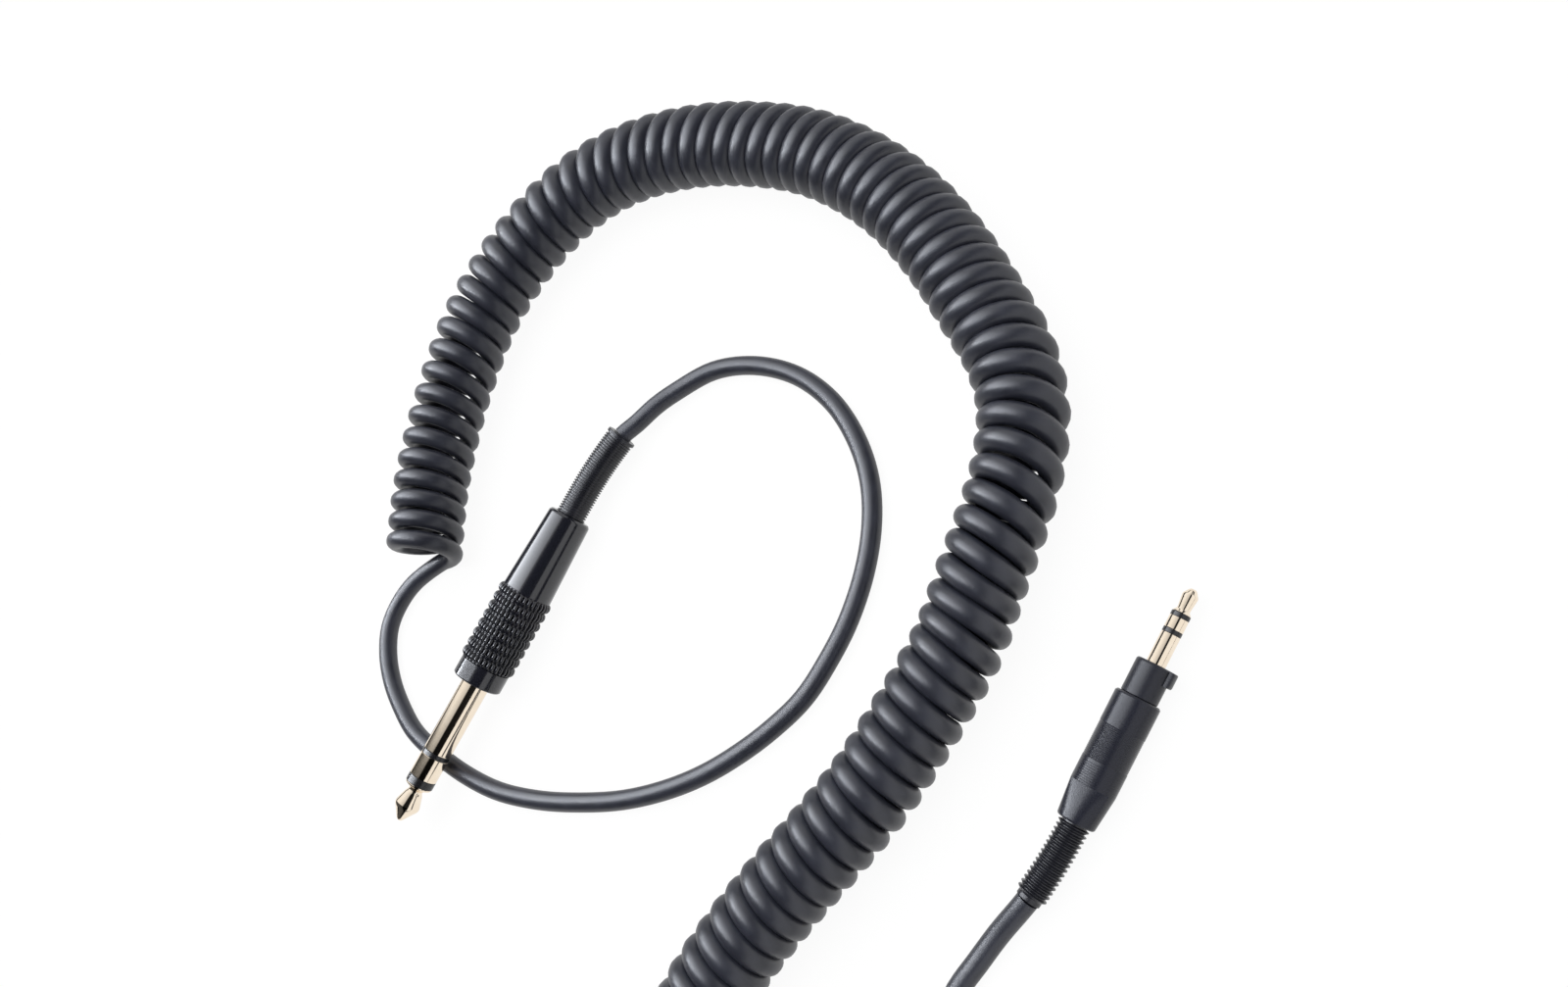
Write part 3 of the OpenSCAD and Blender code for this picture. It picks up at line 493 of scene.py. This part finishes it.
nose("jack_tip_dressed", JACK_TIP_X, [
    (JACK_TIP_X + FIT, 2.98, 0.05), (JACK_TIP_X + 0.2, 3.08, 0.1),
    (JACK_TIP_X + 0.45, 2.98, 0.12), (JACK_TIP_X + 1.15, 1.85, 0.15),
    (JACK_TIP_X + 1.4, 1.66, 0.15), (JACK_TIP_X + 1.75, 1.66, 0.15),
    (JACK_TIP_X + 2.25, 1.98, 0.2), (JACK_TIP_X + 5.4, 3.0, 0.7),
    (JACK_LEN - 0.42, 0.86, 0.35), (JACK_LEN, 0.5, 0.25), (JACK_LEN, 0.001, 0)],
    JACK_TIP_LUG_X, JACK_ROD_R, JACK_RIVET, JACK)
stack("jack", JACK, JACK_R, (JACK_TIP_X, JACK_TIP_INSULATOR_X, JACK_RING_X, JACK_SLEEVE_X),
      JACK_ROD_R, JACK_TUBE_RS, JACK_TIP_LUG_X, JACK_RING_LUG_X, LUG_T, 0.12)

thread = []
for k in range(THREAD_TURNS):
    x = BUSH_BACK + 0.5 + THREAD_PITCH * k
    thread += [(x, BUSH_R, 0.03), (x + 0.15, BUSH_R, 0.03), (x + 0.4, BUSH_R - THREAD_DEPTH, 0.05),
               (x + 0.5, BUSH_R - THREAD_DEPTH, 0.05)]
sleeve_bore = JACK_TUBE_RS[2] + FIT
lathe("jack_sleeve_dressed", softened(
    [(BUSH_BACK, sleeve_bore, 0), (BUSH_BACK, BUSH_R - 0.15, 0.1),
     (BUSH_BACK + 0.25, BUSH_R, 0.05)] + thread +
    [(BUSH_FRONT - 0.3, BUSH_R, 0.05), (BUSH_FRONT, BUSH_R - 0.25, 0.1), (BUSH_FRONT, JACK_R, 0),
     (JACK_SLEEVE_X, JACK_R, 0.14), (JACK_SLEEVE_X, sleeve_bore, 0)], 2),
    JACK, GOLD, "root", "gold_plate")

nose("mini_tip_dressed", MINI_TIP_X, [
    (MINI_TIP_X + FIT, 1.62, 0.04), (MINI_TIP_X + 0.14, 1.66, 0.06),
    (MINI_TIP_X + 0.3, 1.52, 0.08), (MINI_TIP_X + 0.68, 1.22, 0.12),
    (MINI_TIP_X + 1.0, 1.2, 0.2), (MINI_LEN - 1.25, 1.48, 0.35),
    (MINI_LEN - 0.35, 0.85, 0.3), (MINI_LEN, 0.5, 0.25), (MINI_LEN, 0.001, 0)],
    MINI_TIP_LUG_X, MINI_ROD_R, MINI_RIVET, MINI)
stack("mini", MINI, MINI_R, (MINI_TIP_X, MINI_TIP_INSULATOR_X, MINI_RING_X, MINI_SLEEVE_X),
      MINI_ROD_R, MINI_TUBE_RS, MINI_TIP_LUG_X, MINI_RING_LUG_X, MINI_LUG_T, 0.07)
shank_r = 1.55
flange_r = 2.6
sleeve_bore = MINI_TUBE_RS[2] + FIT
lathe("mini_sleeve_dressed", softened([
    (SPIGOT_X, sleeve_bore, 0), (SPIGOT_X, flange_r, 0.05), (SPIGOT_X + 1, flange_r, 0.05),
    (SPIGOT_X + 1, shank_r, 0), (0, shank_r, 0), (0, MINI_R, 0.05), (MINI_SLEEVE_X, MINI_R, 0.08),
    (MINI_SLEEVE_X, sleeve_bore, 0)]), MINI, GOLD, "root", "gold_plate")


# ---------------------------------------------------------------- jack handle and relief

def bead_field(x, r, angle):
    """Raises the beads of the grip over the handle's plain outline."""
    grip = -x - COLLAR_LEN
    if r < HANDLE_R - 0.02 or not 0 <= grip <= BEAD_ROWS * BEAD_PITCH:
        return r
    row = int(min(grip / BEAD_PITCH, BEAD_ROWS - 0.001))
    along = abs(grip / BEAD_PITCH - row - 0.5) * 2
    across = abs((angle * BEAD_COUNT / (2 * math.pi)) % 1.0 - 0.5) * 2
    # Each bead is a squarish dome with narrow gaps round it, and a fine line parts the rows
    d = (along / 0.9) ** 2.2 + (across / 0.92) ** 2.2
    dome = (1 - d) ** 0.55 if d < 1 else 0.0
    line = 0.16 * max(0.0, (along - 0.93) / 0.07)
    return r - 0.12 + (BEAD_H + 0.1) * dome + line


grip_end = -COLLAR_LEN - BEAD_ROWS * BEAD_PITCH
row_steps = [0.0, 0.035, 0.07, 0.12, 0.19, 0.28, 0.39, 0.5, 0.61, 0.72, 0.81, 0.88, 0.93, 0.965]
grip = [(-COLLAR_LEN - (i + s) * BEAD_PITCH, HANDLE_R)
        for i in range(BEAD_ROWS) for s in row_steps] + [(grip_end, HANDLE_R)]
front = softened([(0, HANDLE_BORE, 0.1), (0, HANDLE_R - 0.3, 0.08), (-0.3, HANDLE_R, 0.12),
                  (-COLLAR_LEN + 0.12, HANDLE_R, 0.06), (-COLLAR_LEN + 0.05, HANDLE_R - 0.1, 0)])
rear = softened([(grip_end - 0.15, HANDLE_R, 0.05),
                 (-HANDLE_LEN + 0.55, HANDLE_REAR_R + 0.02, 0.2),
                 (-HANDLE_LEN, HANDLE_REAR_R - 0.45, 0.18),
                 (-HANDLE_LEN, RELIEF_HOLE_R + 0.15, 0.1),
                 (-HANDLE_LEN + 0.2, RELIEF_HOLE_R, 0.1), (SHOULDER_X - 0.9, RELIEF_HOLE_R, 0.1),
                 (SHOULDER_X, HANDLE_BORE, 0.1)])
bead_angles = [2 * math.pi * (b + s) / BEAD_COUNT for b in range(BEAD_COUNT)
               for s in (0, 0.07, 0.16, 0.28, 0.42, 0.58, 0.72, 0.84, 0.93)]
lathe("jack_handle_dressed", front[6:] + grip + rear + front[:6], JACK, HANDLE, "handle",
      "handle_black", shape=bead_field, angles=bead_angles, sharp=50)

pitch = RELIEF_LEN / (RELIEF_RIBS + 1)
relief = [(SHOULDER_X + 2.7, CLAMP_R, 0), (SHOULDER_X + 2.7, RELIEF_COLLAR_R, 0.1),
          (SHOULDER_X + 1.2, RELIEF_COLLAR_R, 0.1), (SHOULDER_X + 1.2, RELIEF_R - 0.35, 0)]
for i in range(RELIEF_RIBS - 1):
    x = -HANDLE_LEN - (i + 0.5) * pitch
    relief += [(x + 0.3 * pitch, RELIEF_R - 0.38, 0.05), (x + 0.26 * pitch, RELIEF_R, 0.1),
               (x - 0.26 * pitch, RELIEF_R, 0.1), (x - 0.3 * pitch, RELIEF_R - 0.38, 0.05)]
relief_end = RELIEF_BEND_X - RELIEF_ARC
relief += [(relief_end + 0.9, RELIEF_R - 0.35, 0.05), (relief_end + 0.86, RELIEF_RIM_R, 0.12),
           (relief_end + 0.06, RELIEF_RIM_R, 0.18), (relief_end + 0.04, CLAMP_R + 0.2, 0.1),
           (relief_end + 0.25, CLAMP_R, 0)]
lathe("jack_bend_relief_dressed", softened(relief, 2), JACK, RELIEF, "root", "relief_rubber",
      bend=jack_bend, sides=72)


# ---------------------------------------------------------------- mini collar, barrel, boot

def lug_field(x, r, angle):
    """Raises the lock lug over the lock collar's outline."""
    if r < LOCK_R - 0.6 or not -LUG_LEN <= x <= -0.02:
        return r
    off = abs(angle % (2 * math.pi) - math.pi)
    wall = math.sin(off) * (LOCK_R + LUG_H)
    if off > math.pi / 2 or wall > LUG_HALF + 0.001:
        return r
    edge = min(x + LUG_LEN, 2.2 * (-0.05 - x), LUG_HALF - wall)
    return LOCK_R + LUG_H - 0.5 * max(0.0, 0.4 - edge) ** 2 / 0.4


half = math.asin(LUG_HALF / (LOCK_R + LUG_H))
lug_angles = [math.pi + s * half for s in
              (-1.1, -1.0, -0.97, -0.92, -0.86, -0.78, -0.6, -0.3, 0, 0.3, 0.6, 0.78, 0.86,
               0.92, 0.97, 1.0, 1.1)]
others = [2 * math.pi * k / 96 for k in range(96)]
collar_angles = sorted(lug_angles + [a for a in others if abs(a - math.pi) > 1.1 * half])
round_front = [(-0.5 + 0.5 * math.sin(a), LOCK_R - 0.5 + 0.5 * math.cos(a))
               for a in (math.radians(d) for d in (0, 15, 30, 45, 60, 75, 90))]
collar = ([(SPIGOT_X + 1.02, 1.57), (SPIGOT_X + 1.02, 2.62), (SPIGOT_X, 2.62),
           (SPIGOT_X, SPIGOT_R), (-LOCK_LEN - 0.02, SPIGOT_R), (-LOCK_LEN - 0.02, LOCK_R - 0.15),
           (-LOCK_LEN + 0.12, LOCK_R)] +
          [(x - LUG_LEN, LOCK_R) for x in (-0.02, 0.01, 0.1, 0.25, 0.45, 1.4, 2.2)] + round_front +
          [(0, 1.57)])
lathe("mini_lock_collar_dressed", collar, MINI, COLLAR, "root", "collar_black",
      shape=lug_field, angles=collar_angles)

barrel_front = -LOCK_LEN - 0.04
barrel = [(barrel_front, BARREL_BORE, 0), (barrel_front, BARREL_R - 0.35, 0.08),
          (barrel_front - 0.35, BARREL_R, 0.1)]
for i in range(GRIP_RINGS):
    x = GRIP_X - GRIP_PITCH * i
    barrel += [(x, BARREL_R, 0.06), (x - GRIP_PITCH / 2, BARREL_R - GRIP_DEPTH, 0.04)]
barrel += [(-LOCK_LEN - 12.9, BARREL_R, 0.06)]
for i in range(10):
    x = -LOCK_LEN - 13.5 - 0.42 * i
    barrel += [(x, BARREL_R, 0.03), (x - 0.06, BARREL_R - 0.025, 0.02), (x - 0.12, BARREL_R, 0.03)]
barrel += [(BARREL_X + BARREL_TAPER, BARREL_R, 0.5), (BARREL_X + 0.25, BARREL_REAR_R, 0.1),
           (BARREL_X, BARREL_REAR_R - 0.22, 0.08), (BARREL_X, 2.5, 0.08), (BARREL_X + 1.1, 2.42, 0),
           (BARREL_X + 1.1, 2.92, 0), (BARREL_X + 2.7, 2.92, 0),
           (BARREL_X + BARREL_TAPER, BARREL_BORE, 0)]
lathe("mini_barrel_dressed", softened(barrel, 2), MINI, BARREL, "root", "barrel_black",
      sides=128, sharp=60)

boot = [(BARREL_X + 2.2, CLAMP_R, 0), (BARREL_X + 2.2, BOOT_R, 0.05),
        (BARREL_X + 1.12, BOOT_R, 0.05), (BARREL_X + 1.12, BOOT_R - 0.5, 0)]
for i in range(BOOT_RIBS):
    x = BARREL_X - (i + 0.7) * BOOT_PITCH
    boot += [(x + 0.26, BOOT_R - 0.58, 0.06), (x + 0.07, BOOT_R, 0.06), (x - 0.05, BOOT_R, 0.06),
             (x - 0.5, BOOT_R - 0.58, 0.1)]
boot_end = BARREL_X - BOOT_LEN
boot += [(boot_end, BOOT_R - 0.55, 0.2), (boot_end, CLAMP_R, 0)]
lathe("mini_boot_dressed", softened(boot, 2), MINI, RELIEF, "root", "relief_rubber",
      bend=mini_bend, sides=72)


# ---------------------------------------------------------------- cord

def smooth(points, i, t):
    """A point on the curve through points, between points i and i + 1."""
    p = [points[max(i - 1, 0)], points[i], points[i + 1], points[min(i + 2, len(points) - 1)]]
    knots = [0.0]
    for k in range(3):
        knots.append(knots[-1] + max((p[k + 1] - p[k]).length, 0.001) ** 0.5)
    s = knots[1] + (knots[2] - knots[1]) * t

    def mix(a, b, ka, kb):
        return a * ((kb - s) / (kb - ka)) + b * ((s - ka) / (kb - ka))

    a = [mix(p[k], p[k + 1], knots[k], knots[k + 1]) for k in range(3)]
    b = [mix(a[k], a[k + 1], knots[k], knots[k + 2]) for k in range(2)]
    return mix(b[0], b[1], knots[1], knots[2])


def dense(points, step):
    """The smooth curve through points, cut about every step."""
    out = []
    for i in range(len(points) - 1):
        cuts = max(1, round((points[i + 1] - points[i]).length / step))
        out += [smooth(points, i, k / cuts) for k in range(cuts)]
    return out + [points[-1]]


def read_off(pairs, at):
    """The value at a place, between the pairs of (place, value) of a list."""
    for (x0, y0), (x1, y1) in zip(pairs, pairs[1:]):
        if at <= x1:
            return y0 + (y1 - y0) * max(0.0, at - x0) / (x1 - x0)
    return pairs[-1][1]


# The curly part by its turns: how far along its middle line each lies, how much the turns
# lean sideways and tilt upwards, how wide they are lying down, how wide the pressed cord is
# in them, and how far they sit aside. The places, leans, widths and offsets started as a
# scratch script's fit to the photo, then thinned and rounded, with the widths lowered by
# trial. The tilts and pressed widths were set by trial.
TURN_PLACES = [(0, 0), (5, 24), (12, 61), (20, 103), (30, 151), (40, 197), (46, 225),
               (50, 246), (54, 267), (60, 296), (66, 324), (81.75, 395)]
LEANS = [(0, -0.2), (20, -0.7), (35, -0.7), (50, -0.4), (80, 0), (120, 0.3), (150, 0.5),
         (165, -0.2), (210, 0), (230, 0.5), (260, 0.5), (282, 1.2), (300, 0.4), (320, 0),
         (395, 0)]
TILTS = [(0, 0.2), (25, 0.9), (52, 1.4), (60, 1.0), (90, 0), (225, 0), (237, -0.9),
         (256, -1.5), (280, 0), (395, 0)]
HALF_WIDTHS = [(0, 6.75), (40, 6.75), (120, 6.85), (215, 6.75), (240, 6.5), (395, 6.4)]
PRESSED = [(0, 2.1), (40, 2.15), (55, 2.4), (80, 2.6), (150, 2.6), (225, 2.5), (240, 2.36),
           (385, 2.36), (393, 2.1)]
ASIDE = [(0, 0.35), (60, 0), (85, 0.35), (110, 0.1), (150, 0.35), (185, 0.1), (215, 0.15),
         (240, -0.15), (395, 0)]


def coil(per_turn, ease_turns=0.75):
    """The curly part as points and their radii, from its lower left end to its far end.

    Its first turn's lean and tilt are eased in.
    """
    middle = dense([Vector((x, y, COIL_Z)) for x, y in CURLY_ROUTE], 0.5)
    along = [0.0]
    for a, b in zip(middle, middle[1:]):
        along.append(along[-1] + (b - a).length)
    knots = [Vector((turn, at, 0)) for turn, at in TURN_PLACES]
    turn_places = [(p.x, p.y) for p in dense(knots, 0.2)]
    out, radii = [], []
    i = j = 0
    for k in range(int(TURN_PLACES[-1][0] * per_turn) + 1):
        turn = k / per_turn
        phi = 2 * math.pi * turn - math.pi / 2
        while j < len(turn_places) - 2 and turn_places[j + 1][0] < turn:
            j += 1
        (t0, s0), (t1, s1) = turn_places[j:j + 2]
        base = s0 + (s1 - s0) * (turn - t0) / (t1 - t0)
        ease = min(1.0, turn / ease_turns)
        shift = read_off(TILTS, base) * math.sin(phi) - read_off(LEANS, base) * math.cos(phi)
        at = min(max(base + ease * shift, 0), along[-1] - 0.01)
        while i > 0 and along[i] > at:
            i -= 1
        while i < len(along) - 2 and along[i + 1] < at:
            i += 1
        centre = middle[i].lerp(middle[i + 1], (at - along[i]) / (along[i + 1] - along[i]))
        ahead = (middle[i + 1] - middle[i]).normalized()
        side = ahead.cross(Vector((0, 0, 1)))
        centre = centre + side * read_off(ASIDE, at)
        radii.append(read_off(PRESSED, base))
        out.append(centre + read_off(HALF_WIDTHS, at) * math.cos(phi) * side +
                   Vector((0, 0, (COIL_Z - radii[-1]) * math.sin(phi))))
    return out, radii


helix, helix_radii = coil(28)
# Each lead starts just behind its plug. The point before it lies inside and sets the direction
jack_start = [JACK @ jack_bend(relief_end + x, 0, 0) / MM for x in (4, -0.05)]
mini_start = [MINI @ mini_bend(boot_end + x, 0, 0) / MM for x in (4, -0.05)]
lead_a = jack_start + [Vector(p) for p in JACK_ROUTE] + helix[:3]
lead_b = mini_start + [Vector(p) for p in MINI_ROUTE] + helix[:-4:-1]


def lead(points, step=1.6):
    """A lead's dense points, from its plug up to where the helix takes over."""
    out = []
    for i in range(1, len(points) - 3):
        cuts = max(1, round((points[i + 1] - points[i]).length / step))
        out += [smooth(points, i, k / cuts) for k in range(cuts)]
    return out


lead_in, lead_out = lead(lead_a), lead(lead_b)[::-1]
cord_line = lead_in + helix + lead_out
cord_radii = [CORD_R] * len(lead_in) + helix_radii + [CORD_R] * len(lead_out)
cord = tube("cord", cord_line, cord_radii, 24, JACKET, "root", "cord_jacket",
            ["lead_to_jack", "curly_cord", "lead_to_mini"])


# ---------------------------------------------------------------- floor, light, camera

def white_for_camera(owner, under, share):
    """Mixes plain white over a shader for camera, glossy and transmission rays."""
    path = node(owner, "ShaderNodeLightPath").outputs
    seen = node(owner, "ShaderNodeMath", {0: path["Is Camera Ray"], 1: path["Is Glossy Ray"]},
                operation="MAXIMUM")
    seen = node(owner, "ShaderNodeMath", {0: seen.outputs[0], 1: path["Is Transmission Ray"]},
                operation="MAXIMUM")
    part = node(owner, "ShaderNodeMath", {0: seen.outputs[0], 1: share}, operation="MULTIPLY")
    white = node(owner, "ShaderNodeEmission", {"Color": (1, 1, 1, 1), "Strength": 1.0})
    return node(owner, "ShaderNodeMixShader",
                {0: part.outputs[0], 1: under, 2: white.outputs[0]}).outputs[0]


def ramp(owner, level, stops):
    """A brightness that runs through rising stops of (place from 0 to 1, brightness)."""
    made = node(owner, "ShaderNodeValToRGB", {"Fac": level})
    shades = made.color_ramp.elements
    for n, (at, shade) in enumerate(stops):
        element = shades[n] if n < 2 else shades.new(at)
        element.position = at
        element.color = (shade, shade, shade, 1)
    return made.outputs["Color"]


floor_mat = bpy.data.materials.new("floor_white")
floor_mat.use_nodes = True
floor_mat.node_tree.nodes.clear()
diffuse = node(floor_mat, "ShaderNodeBsdfDiffuse", {"Color": (0.93, 0.93, 0.93, 1)})
node(floor_mat, "ShaderNodeOutputMaterial",
     {"Surface": white_for_camera(floor_mat, diffuse.outputs[0], 0.95)})
bpy.ops.mesh.primitive_plane_add(size=6, location=(0, 0, 0))
floor = bpy.context.object
floor.name = "floor"
floor.data.materials.append(floor_mat)
floor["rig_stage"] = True

# The sky and the lamps are placed by the plugs' common direction and the one across it
ALONG = Vector((0.469, 0.882, 0))
ACROSS = Vector((0.882, -0.469, 0))
UP = Vector((0, 0, 1))

# The studio as a sky, by the angle from overhead towards the right: a big pale panel at the
# upper left, a dark zone round the camera, and little light elsewhere
world = bpy.data.worlds.new("studio")
bpy.context.scene.world = world
world.use_nodes = True
world.node_tree.nodes.clear()
toward = node(world, "ShaderNodeTexCoord").outputs["Generated"]
along, across, up = (
    node(world, "ShaderNodeVectorMath", {0: toward, 1: v}, operation="DOT_PRODUCT")
    .outputs["Value"] for v in (ALONG, ACROSS, UP))
angle = node(world, "ShaderNodeMath", {0: across, 1: up}, operation="ARCTAN2")
turn = node(world, "ShaderNodeMapRange",
            {"Value": angle.outputs[0], "From Min": -math.pi, "From Max": math.pi})
sky_stops = [(-180, 0.1), (-96, 0.05), (-80, 0.03), (-72, 1.1), (-40, 1.05), (6, 0.66),
             (12, 0.008), (84, 0.02), (88, 0.1), (180, 0.1)]
shades = ramp(world, turn.outputs["Result"], [((d + 180) / 360, level) for d, level in sky_stops])
# The panel ends towards the jack's tip
end = node(world, "ShaderNodeMapRange", {"Value": along, "From Min": -0.222, "From Max": -0.192,
                                         "To Min": 0.08, "To Max": 1.0},
           interpolation_type="SMOOTHSTEP")
sky = node(world, "ShaderNodeBackground", {"Color": shades, "Strength": end.outputs["Result"]})
white = node(world, "ShaderNodeBackground", {"Color": (1, 1, 1, 1), "Strength": 1.0})
path = node(world, "ShaderNodeLightPath")
mix = node(world, "ShaderNodeMixShader",
           {0: path.outputs["Is Camera Ray"], 1: sky.outputs[0], 2: white.outputs[0]})
node(world, "ShaderNodeOutputWorld", {"Surface": mix.outputs[0]})


def panel(name, place, angle, size, power, glossy, diffuse):
    """A lamp at a place (across, up) in metres, tilted sideways from facing down."""
    data = bpy.data.lights.new(name, "AREA")
    data.shape = "RECTANGLE"
    data.size, data.size_y = size
    data.energy = power
    lamp = bpy.data.objects.new(name, data)
    bpy.context.collection.objects.link(lamp)
    a = math.radians(angle)
    back = ACROSS * math.sin(a) + UP * math.cos(a)
    turn = Matrix((ALONG, back.cross(ALONG), back)).transposed().to_4x4()
    lamp.matrix_world = Matrix.Translation(ACROSS * place[0] + UP * place[1]) @ turn
    lamp.visible_camera = False
    lamp.visible_glossy = glossy
    lamp.visible_diffuse = diffuse
    return lamp


# A soft overhead lamp brings the light to a plain level. The shine comes from a pale card low
# on the right, and on the black pieces also from a bluish softbox at the upper left, which
# has a bright strip and fades towards both sides
panel("overhead", (-0.208, 1.182), -10, (1.2, 1.2), 18, False, True)
panel("card", (0.33, 0.083), 16, (1.2, 0.37), 1.4, True, False)
softbox = panel("softbox", (-0.588, 0.809), -36, (0.9, 1.45), 160, True, False)
light = softbox.data
light.color = (0.89, 0.93, 1.0)
light.use_nodes = True
split = node(light, "ShaderNodeSeparateXYZ",
             {0: node(light, "ShaderNodeNewGeometry").outputs["Parametric"]}).outputs
strips = [(0.12, 0.1), (0.15, 1), (0.215, 1), (0.235, 0.0), (0.28, 0.01), (0.32, 0.1),
          (0.36, 0.26), (0.46, 0.26), (0.54, 0.12), (1, 0.09)]
fade = node(light, "ShaderNodeMath",
            {0: ramp(light, split["Y"], [(0, 0.25), (1, 1)]), 1: ramp(light, split["X"], strips)},
            operation="MULTIPLY")
light.node_tree.links.new(fade.outputs[0], light.node_tree.nodes["Emission"].inputs["Strength"])
black_pieces = bpy.data.collections.new("black_pieces")
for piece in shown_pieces():
    if piece.get("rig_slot") in ("handle_black", "collar_black", "barrel_black", "relief_rubber",
                                "cord_jacket", "black_insulator"):
        black_pieces.objects.link(piece)
softbox.light_linking.receiver_collection = black_pieces

# The camera's place and angle were worked out from how the cord's width changes across
# the photo and how far the curl's rings bulge in it.
camera_data = bpy.data.cameras.new("camera")
camera_data.lens = 30.825
camera_data.sensor_width = 36
camera_data.clip_start = 0.01
camera = bpy.data.objects.new("camera", camera_data)
bpy.context.collection.objects.link(camera)
right = Vector((0.88047, 0.06226, -0.46999))
ahead = Vector((-0.46999, 0.24480, -0.84805))
camera_turn = Matrix((right, right.cross(ahead), -ahead)).transposed().to_4x4()
camera.matrix_world = Matrix.Translation((0.133886, -0.037606, 0.239059)) @ camera_turn
bpy.context.scene.camera = camera
bpy.context.scene.view_settings.view_transform = "Standard"
